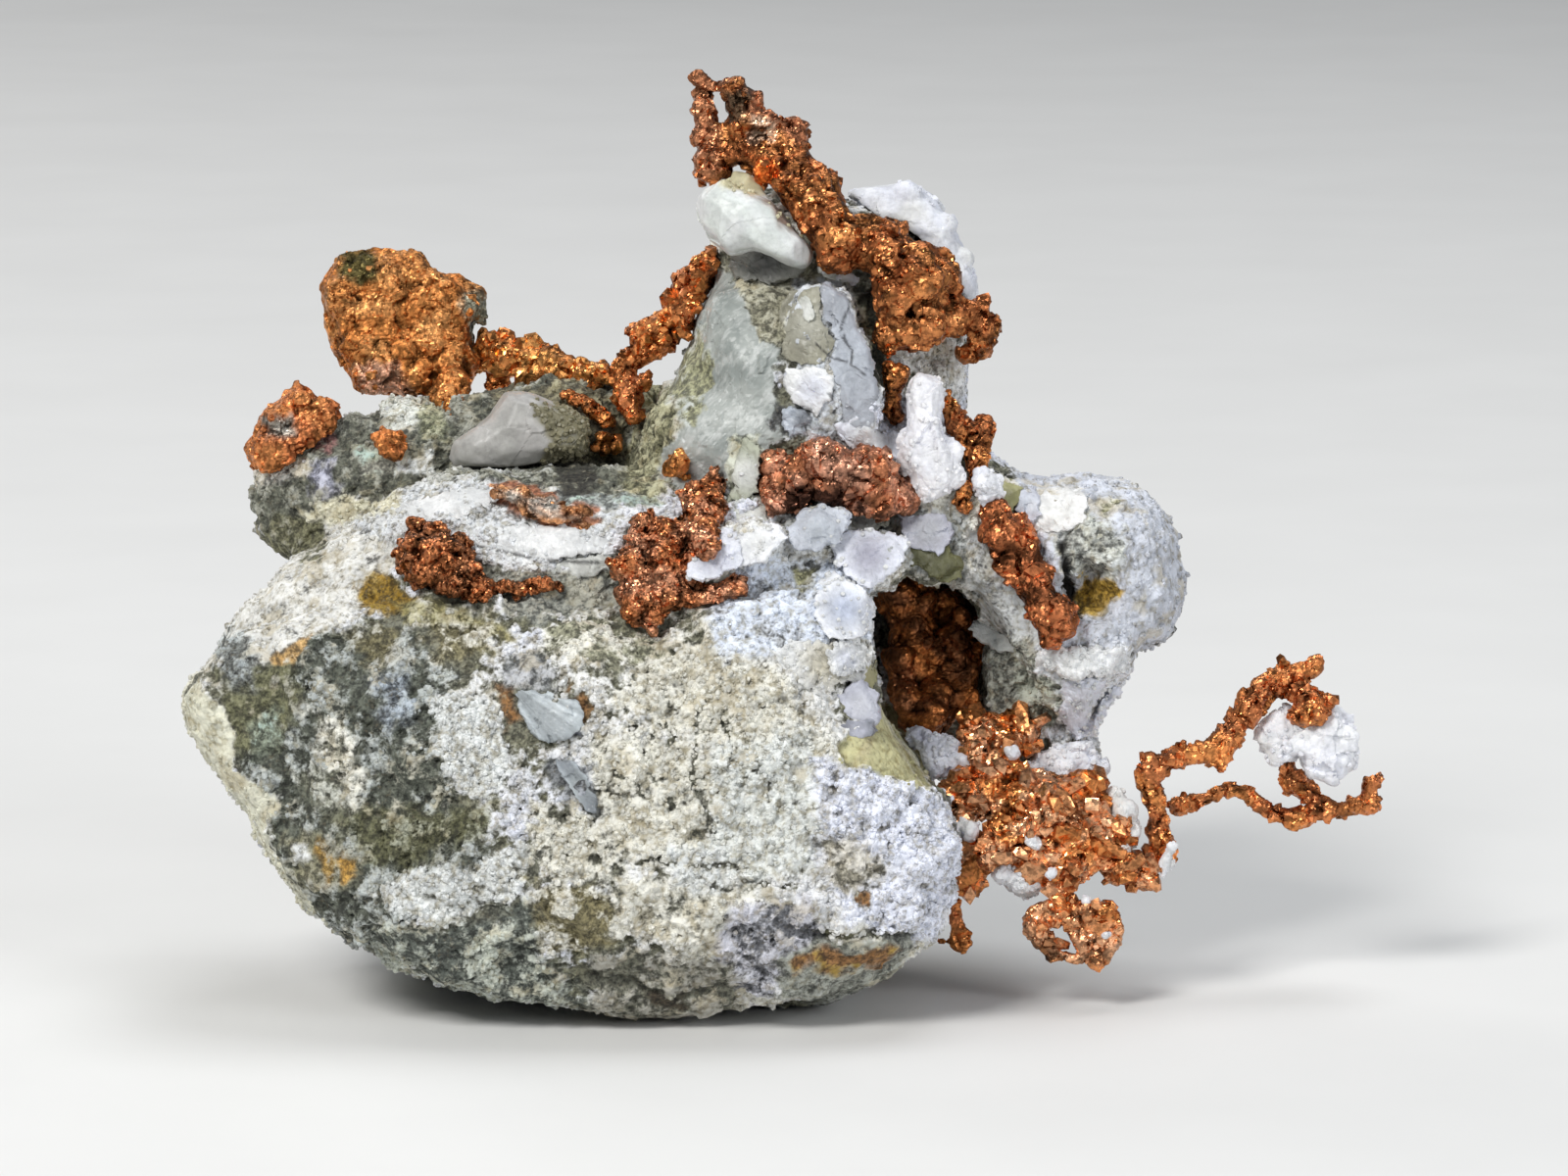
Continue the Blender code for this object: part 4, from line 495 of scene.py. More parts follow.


# Cracks in the crust: lines of (across, up), and their width in mm; their darkness is painted shade
CRACKS = [
    ([(-6.0, 17.3), (-4.9, 15.6), (-4.4, 15.0), (-4.0, 14.2)], 0.12),
    ([(-4.9, 17.6), (-4.7, 16.5), (-5.1, 15.7)], 0.1),
    ([(-2.7, 14.9), (-2.2, 13.9), (-2.5, 12.9)], 0.11),
    ([(14.5, 24.7), (14.7, 22.6), (15.3, 20.7)], 0.34),
    ([(3.25, 34.9), (3.8, 34.2), (3.7, 33.5)], 0.10),
    ([(2.62, 32.0), (3.05, 31.3), (2.75, 30.7)], 0.12),
    ([(3.6, 36.4), (3.2, 35.4), (3.5, 34.6)], 0.09),
    ([(1.9, 34.6), (2.6, 33.9), (3.6, 33.6), (4.4, 33.0)], 0.08),
    ([(-19.0, 23.6), (-15.2, 24.2), (-12.0, 23.5), (-9.2, 23.4)], 0.14),
    ([(-13.6, 20.3), (-10.4, 20.5), (-7.6, 20.2)], 0.14),
    ([(0.4, 4.6), (2.6, 4.3), (4.6, 4.5), (6.6, 4.4)], 0.30),
    ([(-9.6, 2.2), (-7.4, 1.9), (-5.4, 1.3), (-3.6, 1.6)], 0.26),
    ([(-5.6, 13.4), (-4.9, 12.4), (-3.8, 12.5)], 0.14),
    ([(-6.6, 12.6), (-5.4, 11.2), (-5.0, 10.6)], 0.12),
    ([(1.9, 8.2), (3.4, 7.9), (4.6, 7.0), (5.6, 6.6)], 0.10),
    ([(-6.7, 15.7), (-5.9, 15.2), (-5.4, 14.5), (-5.6, 14.0)], 0.2),
    ([(-3.8, 16.3), (-4.2, 15.2), (-4.1, 13.7), (-4.4, 12.6), (-4.3, 11.8), (-3.7, 10.9), (-3.3, 9.7)],
     0.2),
    ([(-7.8, 8.1), (-6.2, 8.3), (-4.9, 7.9), (-3.4, 8.1), (-1.7, 7.9)], 0.2),
    ([(-3.4, 6.9), (-2.0, 6.7), (-0.6, 7.0), (0.9, 6.8)], 0.18),
    ([(-8.4, 12.6), (-7.2, 12.2), (-6.8, 11.2)], 0.18),
    ([(-1.2, 12.9), (-0.4, 12.2), (-0.6, 11.2)], 0.16),
]


def near_cracks(across, up):
    """1 in the middle of a crack, falling to 0 beside it, and its width."""
    depth, widths = np.zeros(len(across)), np.zeros(len(across))
    for line, width in CRACKS:
        for start, end in zip(line, line[1:]):
            here = 1 - rise(off_line(across, up, start, end), 0.3 * width, width)
            widths = np.where(here > depth, width, widths)
            depth = np.maximum(depth, here)
    return depth, widths


def crystal_faces(spots, size, slope, step, seed):
    """Relief of flat faces about this size in mm, each with a tilt and a height of its own."""
    shift = Vector((seed * 3.3, seed * 8.9, seed * 5.7))
    heights = []
    for s in spots:
        spot = Vector(s) / size + shift
        middle = noise.voronoi(spot)[1][0]
        lean = noise.cell_vector(middle * 31.7) - Vector((0.5, 0.5, 0.5))
        heights.append(size * (slope * 2 * (spot - middle).dot(lean) + step * lean.x))
    return np.array(heights)


ROCK_VOXEL, ROCK_CALMING = 0.15, 30  # mm, and rounds of smoothing
SWELL_SIZE, SWELL_HEIGHT = 2.4, 0.42  # the rock's own broad swells, mm
VUG_SIZE, VUG_HEIGHT = 1.5, 0.15  # the hollows between patches of crust, mm
BREAK_HEIGHT = 0.60  # share of the broken faces' own relief
LUMP_SIZE, BEAD_SIZE = 0.85, 0.42  # round growths of the crust, mm
PIT_SIZE, PIT_DEPTH = 0.8, 0.24  # mm
FOOT_BAND = 0.35  # mm above the surface it stands on, where the break stays flat

rock = new_piece("rock", merged_copy("matrix_rock"))
fine_skin(rock, ROCK_VOXEL, ROCK_CALMING)
smooth_rock = BVHTree.FromPolygons(
    [v.co.copy() for v in rock.data.vertices], [p.vertices[:] for p in rock.data.polygons])
spots, ways = skin_arrays(rock.data)
bare, crust, cover, relief, gloss = lay_coats(spots, ways)
glass = rise(gloss, 0.3, 0.6)

vugs = cloud(spots, VUG_SIZE, 3, 11)
pitted = rise(cloud(spots, 3.5, 2, 81), -0.15, 0.3)
pits = PIT_DEPTH * rise(cloud(spots, PIT_SIZE, 3, 8), 0.34, 0.6) * pitted
broken = crystal_faces(spots, 0.95, 0.28, 0.22, 6) + crystal_faces(spots, 0.42, 0.30, 0.25, 7)

across, up, _ = face_places(spots)
wander, sway = 0.25 * cloud(spots, 0.9, 3, 21), 0.25 * cloud(spots, 0.9, 3, 23)
cracked, widths = near_cracks(across + wander, up + sway)
cracked *= (ways[:, 1] < 0.3) * np.clip(0.62 + 1.3 * cloud(spots, 0.8, 2, 22) + 1.5 * widths, 0, 1)
crack_depth = (0.02 + 0.8 * widths) * cracked * np.clip(0.3 + 3.0 * widths, 0, 1)

# The crust is ragged where it covers little and whole where it covers all
patchy = 0.35 + 0.9 * np.clip(1 - cover, 0, 1)
ragged_edge = patchy * (0.48 * vugs + 0.36 * cloud(spots, 0.6, 3, 12))
crusted = np.clip(cover + ragged_edge + 0.25 * broken, 0, 1)
warped = spots + 0.25 * np.stack([cloud(spots, 0.9, 1, seed) for seed in (31, 32, 33)], 1)
lumps, beads = cauliflower(warped, LUMP_SIZE, 34), cauliflower(warped, BEAD_SIZE, 35)

swells = SWELL_HEIGHT * cloud(spots, SWELL_SIZE, 3, 5)
height = swells + VUG_HEIGHT * vugs + BREAK_HEIGHT * broken - 0.8 * pits
height += crusted * (0.12 + (0.09 + 0.09 * rise(cover, 0.87, 0.93)) * lumps + 0.08 * beads)
height *= (0.10 + 0.90 * relief) * (1 - 0.85 * glass)
broad_faces = crystal_faces(spots, 2.4, 0.12, 0.03, 9)
height += glass * (0.3 * broad_faces + 0.5 * crystal_faces(spots, 0.5, 0.2, 0.1, 10)) - crack_depth
lowest = spots[:, 2] < FOOT_BAND
move_skin(rock.data, spots + ways * np.where(lowest, 0, height)[:, None])

# Hollows are darker, partly with dust and partly as painted shade; the creases between the crust's
# lumps and the cracks carry painted shade; and iron has stained the crust in places
STAIN = (0.43, 0.37, 0.235)
spots, ways = skin_arrays(rock.data)
deep = 0.5 * rise(hollows(rock, 24), 0.03, 0.14) + 0.6 * rise(hollows(rock, 120), 0.06, 0.30)
deep *= 1 - glass
# Painted shade along the cracks; in the hollows partly dust and partly painted shade
bare = bare * (1 - 1.2 * widths * cracked - 0.2 * deep)[:, None]
# Painted shade in the creases between the crust's lumps
creases = (1 - rise(lumps, -0.6, 0.1)) * (1 - glass)
crust = crust * (1.05 - 0.12 * creases - 0.42 * deep + 0.12 * cloud(spots, 1.3, 2, 41))[:, None]
stained = 0.5 * rise(cloud(spots, 1.7, 4, 42) + 0.25 * deep, 0.15, 0.50) * (1 - glass)
stained *= crust[:, 2] < 0.7  # the whitest crust is clean
crust = tinge(crust, STAIN, stained)
# Less crust, so darker bare stone: in pits, as painted shade in cracks and creases, partly so in hollows
clean = (1 - cracked * np.clip(0.35 + 2.2 * widths, 0, 1)) * (1 - np.clip(1.6 * pits, 0, 1))
clean *= 1 - 0.15 * creases - 0.15 * deep
for name, values in (("bare", bare), ("crust", crust), ("cover", crusted * clean), ("gloss", gloss)):
    set_attribute(rock.data, name, values)


def noise_of(tree, coords, size, detail=4.0, roughness=0.6):
    """Noise with lumps of this size in mm."""
    settings = {"Vector": coords, "Scale": 1 / (size * MM), "Detail": detail, "Roughness": roughness}
    return add_node(tree, "TexNoise", settings).outputs["Fac"]


def cells_of(tree, coords, size):
    """A node with random cells of this size in mm: their colours, and the distance to their middles."""
    return add_node(tree, "TexVoronoi", {"Vector": coords, "Scale": 1 / (size * MM)}, feature="F1")


def channel_of(tree, colour, channel):
    return add_node(tree, "SeparateColor", {"Color": colour}).outputs[channel]


basalt, tree, shader = new_material("altered_basalt")
coords = add_node(tree, "TexCoord").outputs["Object"]
bare_colour = add_node(tree, "Attribute", attribute_name="bare").outputs["Color"]
crust_colour = add_node(tree, "Attribute", attribute_name="crust").outputs["Color"]
crust_share = add_node(tree, "Attribute", attribute_name="cover").outputs["Fac"]
shine = add_node(tree, "Attribute", attribute_name="gloss").outputs["Fac"]

# Bare stone and crust meet along a ragged edge
fine = noise_of(tree, coords, 0.40, 5.0, 0.65)
finest = noise_of(tree, coords, 0.14, 2.0, 0.5)
tone = noise_of(tree, coords, 0.8, 4.0, 0.7)
ragged = sums(tree, "ADD", multiplied(tree, fine, 0.95), multiplied(tree, finest, 0.35))
level = sums(tree, "ADD", sums(tree, "SUBTRACT", ragged, 0.65), crust_share)
stone = blend(tree, 1.0, bare_colour, ramp(tree, ragged, 0.50, 0.82, 0.26, 1.34), "MULTIPLY")
coat = blend(tree, 1.0, crust_colour, ramp(tree, tone, 0.32, 0.62, 0.82, 1.18), "MULTIPLY")

# The crust's own grains are bent out of shape, with painted shade in the gaps between them
GRAIN = 0.36  # mm
drift = add_node(tree, "TexNoise", {"Vector": coords, "Scale": 1 / (0.7 * MM)}).outputs["Color"]
drift = add_node(tree, "VectorMath", {0: drift, "Scale": 0.5 * MM}, operation="SCALE").outputs[0]
bent = add_node(tree, "VectorMath", {0: coords, 1: drift}, operation="ADD").outputs[0]
grains = cells_of(tree, bent, GRAIN).outputs["Distance"]
# Painted shade in the gaps between the grains
gap_shade = multiplied(tree, ramp(tree, grains, 0.38, 0.72), ramp(tree, tone, 0.38, 0.60, 1.0, 0.15))
gap_shade = multiplied(tree, gap_shade, ramp(tree, crust_share, 0.85, 0.98, 1.0, 0.35))
coat = blend(tree, gap_shade, coat, blend(tree, 1.0, coat, (0.70, 0.65, 0.54, 1), "MULTIPLY"))
skin = blend(tree, ramp(tree, level, 0.34, 0.70), stone, coat)

# Dark specks sit here and there, and grime in smudges
cells = cells_of(tree, coords, 0.75)
lone = ramp(tree, channel_of(tree, cells.outputs["Color"], "Red"), 0.62, 0.64)
speck = multiplied(tree, ramp(tree, cells.outputs["Distance"], 0.08, 0.20, 1.0, 0.0), lone)
marks = multiplied(tree, speck, ramp(tree, shine, 0.0, 0.2, 0.36, 0.0))
grime = ramp(tree, noise_of(tree, coords, 0.22, 3.0, 0.6), 0.33, 0.44, 0.5, 0.0)
grime = multiplied(tree, grime, ramp(tree, noise_of(tree, coords, 1.9, 3.0, 0.6), 0.42, 0.58))
skin = blend(tree, sums(tree, "MAXIMUM", marks, grime), skin, (0.15, 0.13, 0.085, 1))

# White wisps lie aslant inside the clear quartz
slant = {"Vector": coords, "Rotation": (0, math.radians(-52), 0), "Scale": (3.2, 1, 1)}
aslant = add_node(tree, "Mapping", slant, vector_type="TEXTURE").outputs[0]
wisps = ramp(tree, noise_of(tree, aslant, 0.55, 5.0, 0.68), 0.46, 0.64)
veil = ramp(tree, noise_of(tree, coords, 2.2, 3.0, 0.6), 0.35, 0.65)
quartz = blend(tree, veil, (0.24, 0.265, 0.252, 1), (0.36, 0.385, 0.365, 1))
quartz = blend(tree, multiplied(tree, wisps, 0.55), quartz, (0.58, 0.60, 0.585, 1))
clear = ramp(tree, shine, 0.35, 0.7)
tree.links.new(blend(tree, clear, skin, quartz), shader.inputs["Base Color"])
tree.links.new(ramp(tree, shine, 0.0, 1.0, 0.82, 0.38), shader.inputs["Roughness"])
relief_map = sums(tree, "SUBTRACT", multiplied(tree, level, 0.8), sums(tree, "ADD", marks, grains))
bumpy = ramp(tree, shine, 0.0, 0.6, 0.75, 0.16)
bump = add_node(tree, "Bump", {"Height": relief_map, "Strength": bumpy, "Distance": 0.14 * MM})
tree.links.new(bump.outputs["Normal"], shader.inputs["Normal"])


def part_of(piece, name, cuts):
    """A closed piece: what is left of the mesh on the inner side of each cut (point, outward way)."""
    bm = bmesh.new()
    bm.from_mesh(piece.data)
    for point, way in cuts:
        everything = bm.verts[:] + bm.edges[:] + bm.faces[:]
        cut = bmesh.ops.bisect_plane(bm, geom=everything, plane_co=point, plane_no=way, clear_outer=True)
        rim = [e for e in cut["geom_cut"] if isinstance(e, bmesh.types.BMEdge)]
        bmesh.ops.holes_fill(bm, edges=rim, sides=0)
    part = new_piece(name, bm)
    part.data.materials.append(basalt)
    return part


# The rock is one stone. Flat cuts through its inside only keep each mesh light.
WAIST, SADDLE, WEST, EAST = 21.4 * MM, -2.0 * MM, -13.8 * MM, 4.3 * MM
above, below = ((0, 0, WAIST), (0, 0, -1)), ((0, 0, WAIST), (0, 0, 1))
rock_parts = [
    part_of(rock, "rock_ledge", [above, ((SADDLE, 0, 0), (1, 0, 0))]),
    part_of(rock, "rock_spire", [above, ((SADDLE, 0, 0), (-1, 0, 0))]),
    part_of(rock, "rock_left", [below, ((WEST, 0, 0), (1, 0, 0))]),
    part_of(rock, "rock_middle", [below, ((WEST, 0, 0), (-1, 0, 0)), ((EAST, 0, 0), (1, 0, 0))]),
    part_of(rock, "rock_right", [below, ((EAST, 0, 0), (-1, 0, 0))]),
]
for part in rock_parts:
    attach(part, "root")
    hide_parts("matrix_rock")

# ---------------------------------------------------------------- crust crumbs
# Loose-looking grains of the pale crust that stand up from it, each a blunt crystal a few tenths of a
# millimetre across, grown fast to the rock.

cube = bmesh.new()
bmesh.ops.create_cube(cube, size=1.7)
bmesh.ops.bevel(
    cube, geom=cube.verts[:], offset=0.85, affect="VERTICES", segments=1, profile=0.5, material=-1)
bmesh.ops.remove_doubles(cube, verts=cube.verts, dist=0.05)
bmesh.ops.triangulate(cube, faces=cube.faces)
blunt = bpy.data.meshes.new("blunt")
cube.to_mesh(blunt)
cube.free()
CORNERS = len(blunt.vertices)


def scattered(mesh, count, dice, wanted=None):
    """(places in metres, normals) of points spread over the mesh, more of them where wanted is high."""
    mesh.calc_loop_triangles()
    corners = np.empty(len(mesh.loop_triangles) * 3, np.int32)
    mesh.loop_triangles.foreach_get("vertices", corners)
    corners = corners.reshape(-1, 3)
    areas = np.empty(len(mesh.loop_triangles), np.float32)
    mesh.loop_triangles.foreach_get("area", areas)
    areas = areas.astype(float)
    if wanted is not None:
        areas *= wanted[corners].mean(1)
    spots, ways = skin_arrays(mesh)
    chosen = dice.choice(len(areas), count, p=areas / areas.sum())
    shares = dice.dirichlet((1, 1, 1), count)
    corners = corners[chosen]
    return (spots[corners] * shares[:, :, None]).sum(1) * MM, (ways[corners] * shares[:, :, None]).sum(1)


def stud(bm, stamp, spots, ways, sizes, dice, sink=0.35, squash=0.25, length=1.0):
    """Adds a turned, stretched copy of stamp at each place, partly sunk in the skin."""
    for spot, way, size in zip(spots, ways, sizes):
        copy = stamp.copy()
        turn = Matrix.Rotation(dice.uniform(0, math.tau), 4, Vector(dice.normal(size=3)).normalized())
        sides = [size * MM * (1 + dice.uniform(-squash, squash)) for _ in range(3)]
        sides[0] *= dice.uniform(1, length)
        stretch = Matrix.Diagonal(sides).to_4x4()
        lift = Vector(spot) + Vector(way) * size * MM * (0.5 - sink)
        copy.transform(Matrix.Translation(lift) @ turn @ stretch)
        bm.from_mesh(copy)
        bpy.data.meshes.remove(copy)


def stud_piece(piece, places, outward, sizes, dice, **how):
    """Adds blunt crystals of these sizes in mm to a finished piece."""
    bm = bmesh.new()
    bm.from_mesh(piece.data)
    stud(bm, blunt, places, outward, sizes, dice, **how)
    bm.to_mesh(piece.data)
    bm.free()


def grain_sizes(dice, count, smallest, spread):
    """Radii of grains in mm, most of them near the smallest."""
    return smallest + spread * dice.beta(1.2, 2.5, count)


def on_corners(values):
    """Each crystal's value, repeated for every corner of it."""
    return np.repeat(values, CORNERS, axis=0)


CRUMBS = 8500  # on each half
CLEAR_OF_FOOT = 0.7  # mm
wanted = np.clip(2.4 * crusted - 1.4, 0, 1) * relief ** 2 * np.clip(1.2 - 1.2 * ways[:, 1], 0.15, 1.5)
wanted *= spots[:, 2] > CLEAR_OF_FOOT
# piece, and from where to where it reaches along the width in mm
for number, (name, low, high) in enumerate([("crumbs_left", -99, -9), ("crumbs_right", -9, 99)]):
    dice = np.random.default_rng(70 + number)
    here = wanted * ((spots[:, 0] > low) & (spots[:, 0] <= high))
    places, outward = scattered(rock.data, CRUMBS, dice, here)
    bm = bmesh.new()
    stud(bm, blunt, places, outward, grain_sizes(dice, CRUMBS, 0.06, 0.13), dice, sink=0.45)
    crumbs = new_piece(name, bm)
    grain_bare, grain_crust, _, _, grain_gloss = lay_coats(places / MM, outward)
    shade = dice.uniform(0.80, 1.08, CRUMBS)[:, None]
    set_attribute(crumbs.data, "bare", on_corners(grain_bare))
    set_attribute(crumbs.data, "crust", on_corners(grain_crust * shade))
    set_attribute(crumbs.data, "cover", np.full(CRUMBS * CORNERS, 0.75))
    set_attribute(crumbs.data, "gloss", on_corners(grain_gloss))
    crumbs.data.materials.append(basalt)
    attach(crumbs, "root")
    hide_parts("matrix_rock")
bpy.data.objects.remove(rock)

# ---------------------------------------------------------------- crystals
# Sugary white calcite, milky quartz and one smooth grey crystal that sit on the rock. Each is a crust of
# small grains on a blunt core, and grew where it is.


def crystal_finish(name, roughness, scatter, bump_height):
    """Milky crystal: its own tint, clouded inside, with a skin of fine grains."""
    finish, tree, shader = new_material(name)
    coords = add_node(tree, "TexCoord").outputs["Object"]
    tint = add_node(tree, "Attribute", attribute_name="tint").outputs["Color"]
    fine = noise_of(tree, coords, 0.22, 4.0, 0.6)
    clouding = noise_of(tree, coords, 1.4, 3.0, 0.6)
    body = blend(tree, 1.0, tint, ramp(tree, clouding, 0.3, 0.7, 0.82, 1.06), "MULTIPLY")
    body = blend(tree, 1.0, body, ramp(tree, fine, 0.3, 0.6, 0.90, 1.04), "MULTIPLY")
    tree.links.new(body, shader.inputs["Base Color"])
    shader.inputs["Roughness"].default_value = roughness
    shader.inputs["Subsurface Weight"].default_value = scatter
    shader.inputs["Subsurface Radius"].default_value = (0.9, 0.9, 1.0)
    shader.inputs["Subsurface Scale"].default_value = 0.5 * MM
    bump = add_node(tree, "Bump", {"Height": fine, "Strength": 0.6, "Distance": bump_height * MM})
    tree.links.new(bump.outputs["Normal"], shader.inputs["Normal"])
    return finish


sugar = crystal_finish("sugar_calcite", 0.50, 0.3, 0.08)
milky = crystal_finish("milky_quartz", 0.38, 0.3, 0.03)
waxy = crystal_finish("waxy_crystal", 0.40, 0.1, 0.03)

SNOW, FROST = np.array((0.72, 0.73, 0.73)), np.array((0.70, 0.72, 0.79))
PEARL = np.array((0.60, 0.61, 0.58))
# name: finish, height and size of its grains, size of its flat faces in mm, their slope, loose grains for
# each square mm, and two tints
CRYSTALS = {
    "cap_crystal": (milky, 0.01, 0.5, 2.6, 0.03, 0.2, SNOW, (0.62, 0.655, 0.63)),
    "arch_crystal": (sugar, 0.02, 0.4, 2.4, 0.06, 0.3, FROST, SNOW),
    "blade_crystal": (sugar, 0.03, 0.3, 1.4, 0.16, 1.5, (0.84, 0.84, 0.87), (0.78, 0.79, 0.85)),
    "grey_crystal": (waxy, 0.01, 0.5, 2.6, 0.03, 3.5, (0.40, 0.39, 0.375), (0.36, 0.355, 0.335)),
    "tuft_crystal": (sugar, 0.07, 0.5, 1.3, 0.24, 1.5, (0.80, 0.81, 0.87), (0.78, 0.79, 0.80)),
    "neck_crystal": (sugar, 0.04, 0.3, 0.8, 0.30, 2, FROST, PEARL),
    "wing_crystal": (sugar, 0.07, 0.5, 1.2, 0.22, 3, (0.78, 0.79, 0.83), FROST),
    "mouth_crystal": (sugar, 0.07, 0.35, 0.9, 0.30, 3, FROST, (0.50, 0.51, 0.60)),
    "under_crystal": (sugar, 0.05, 0.3, 1.2, 0.10, 2, (0.78, 0.79, 0.83), SNOW),
    "side_crystal": (sugar, 0.03, 0.3, 1.2, 0.12, 1, (0.78, 0.78, 0.76), SNOW),
    "heel_crystal": (milky, 0.03, 0.3, 1.0, 0.25, 1, SNOW, FROST),
    "spray_pearl": (milky, 0.03, 0.3, 1.2, 0.15, 1, FROST, SNOW),
    "flower_crystal": (sugar, 0.05, 0.3, 0.8, 0.20, 2, (0.77, 0.78, 0.82), FROST),
}
# Lumps that grew on to a crystal: across, up, depth and radius in mm
BUDS = {
    "spray_pearl": [(12.9, 9.3, -3.7, 0.42), (13.2, 9.0, -3.6, 0.3), (12.0, 13.7, -1.7, 0.36),
                    (11.7, 13.9, -1.5, 0.3), (15.8, 6.1, -3.2, 0.38), (13.9, 7.6, -3.5, 0.36),
                    (16.7, 4.4, -3.1, 0.24), (9.3, 9.9, -2.2, 0.5)],
    "side_crystal": [(17.7, 10.7, -1.3, 0.7), (17.9, 9.6, -1.2, 0.6), (17.2, 11.5, -1.0, 0.5),
                     (17.6, 8.7, -1.4, 0.5)],
    "under_crystal": [(14.1, 7.6, -2.4, 0.4), (13.4, 7.9, -2.2, 0.4), (11.4, 7.5, -2.6, 0.55),
                      (12.3, 7.1, -2.6, 0.65), (13.1, 7.2, -2.6, 0.5)],
    "heel_crystal": [(20.1, 8.9, -2.0, 0.35), (19.8, 8.2, -2.0, 0.35)],
    "tuft_crystal": [(24.9, 14.6, 0.8, 0.55), (29.0, 14.6, 0.8, 0.6), (28.3, 12.7, 0.8, 0.5),
                     (25.4, 13.6, 0.8, 0.5)],
    "wing_crystal": [(13.0, 12.7, 0.2, 0.5), (16.2, 12.9, 0.4, 0.5), (14.6, 12.9, -0.1, 0.7)],
    "blade_crystal": [(6.5, 29.7, -3.8, 0.6), (6.8, 28.6, -4.0, 0.8), (8.8, 29.0, -4.0, 0.7),
                      (8.9, 27.8, -4.2, 0.75), (7.4, 27.3, -4.0, 0.7), (7.3, 32.6, -4.0, 0.5),
                      (7.9, 31.6, -4.2, 0.6), (7.6, 30.2, -4.2, 0.8)],
    "mouth_crystal": [(9.4, 13.4, -0.6, 0.5), (10.2, 12.8, -0.8, 0.5), (8.8, 14.0, -0.4, 0.4)],
    "flower_crystal": [(10.65, 27.3, -4.2, 0.72), (10.1, 27.5, -4.0, 0.35), (10.6, 28.0, -4.0, 0.35),
                       (11.2, 27.6, -4.0, 0.38), (11.2, 27.0, -4.0, 0.38), (10.6, 26.7, -4.0, 0.38),
                       (10.2, 27.8, -1.6, 0.5), (11.1, 27.2, -1.6, 0.55), (10.6, 26.8, -1.6, 0.5)],
    "arch_crystal": [(5.2, 42.0, 3.2, 0.6), (6.6, 42.1, 3.0, 0.85), (8.4, 40.6, 3.0, 0.75),
                     (9.3, 38.9, 3.2, 0.7)],
}
# Parts of a crystal with a tint of their own, and the cap's dark brown patch where it meets the copper:
# outline (across, up) and tint
STAINS = {
    "cap_crystal": [([(-3.5, 43.6), (-0.2, 43.6), (-0.2, 42.2), (-1.6, 42.1), (-2.8, 42.5)],
                     (0.52, 0.48, 0.31)), ([(-0.9, 42.0), (1.4, 41.4), (1.8, 39.9), (0.6, 40.3)],
                                           (0.30, 0.24, 0.20))],
    "grey_crystal": [([(-12.6, 31.4), (-9.0, 31.4), (-9.0, 28.0), (-12.0, 28.0), (-11.6, 29.6)],
                      (0.19, 0.175, 0.11))],
}


def rock_depth(across, up):
    """How deep the rock's smooth skin lies at this place of the display face, in mm."""
    start = place(across, up, -40)
    way = (place(across, up, 20) - start).normalized()
    hit = smooth_rock.ray_cast(start, way)[0]
    if hit is None:
        hit = smooth_rock.find_nearest(place(across, up, 0))[0]
    return face_places(np.array([hit[:]]) / MM)[2][0]


def add_buds(bm, buds, blocky=False):
    """Adds a lump at each of these places: a round one, or a blocky one turned its own way."""
    for across, up, depth, radius in buds:
        depth = rock_depth(across, up) - 0.4 * radius if depth is None else depth
        turn = Matrix.Rotation(5.0 * across + up, 4, Vector((up, across, 10.0)))
        bmesh.ops.create_icosphere(
            bm, subdivisions=1 if blocky else 2, radius=radius * MM * (1.1 if blocky else 1.0),
            matrix=Matrix.Translation(place(across, up, depth)) @ turn)


def area_of(piece):
    """The piece's surface in square mm."""
    return sum(p.area for p in piece.data.polygons) / MM ** 2


CRYSTAL_VOXEL, CRYSTAL_CALMING = 0.10, 12  # mm, and rounds of smoothing
SMOOTH = 0.02  # mm: a crystal with lower grains than this has loose ones on its stains only
for number, (node, looks) in enumerate(CRYSTALS.items()):
    finish, grain, grain_size, size, slope, loose, main, second = looks
    dice = np.random.default_rng(400 + number)
    bm = merged_copy(node)
    add_buds(bm, BUDS.get(node, ()))
    piece = new_piece(node.replace("_crystal", "_grains"), bm)
    fine_skin(piece, CRYSTAL_VOXEL, CRYSTAL_CALMING)
    spots, ways = skin_arrays(piece.data)
    height = crystal_faces(spots, size, slope, 0.3 * slope, number) + 0.06 * cloud(spots, 0.9, 2, number)
    height += grain * cauliflower(spots, grain_size, number + 5)
    move_skin(piece.data, spots + ways * height[:, None])
    tints = tinge(main, second, np.clip(0.5 + 1.2 * cloud(spots, 1.8, 2, number + 9), 0, 1))
    across, up, _ = face_places(spots)
    on_stains = np.zeros(len(spots))
    for outline, stain in STAINS.get(node, ()):
        share = rise(inside_by(outline, across, up) + 0.3 * cloud(spots, 0.7, 2, number), -0.25, 0.25)
        tints = tinge(tints, stain, share)
        on_stains = np.maximum(on_stains, share * (ways[:, 1] < 0.2))
    count = int(loose * area_of(piece))
    if count:
        places, outward = scattered(piece.data, count, dice, on_stains + 0.001 if grain < SMOOTH else None)
        stud_piece(piece, places, outward, grain_sizes(dice, count, 0.07, 0.14), dice, sink=0.5)
        grain_tint = np.array(STAINS[node][0][1]) * 1.1 if grain < SMOOTH else np.array(main)
        grain_tints = grain_tint * dice.uniform(0.88, 1.05, count)[:, None]
        tints = np.concatenate([tints, on_corners(grain_tints)])
    set_attribute(piece.data, "tint", tints)
    piece.data.materials.append(finish)
    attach(piece, "root")
    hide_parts(node)

# ---------------------------------------------------------------- petals, plates and chips on the rock
# Thin plates of calcite and quartz along the brow of the cave, broken slabs on the spire and sheets on the
# shelf. Each grew or split off flat, follows the rock behind it and is fast to it.


PLATE_VOXEL, PLATE_CALMING = 0.09, 2  # mm, and rounds of smoothing


def middle_of(outline):
    return [sum(corner[k] for corner in outline) / len(outline) for k in (0, 1)]


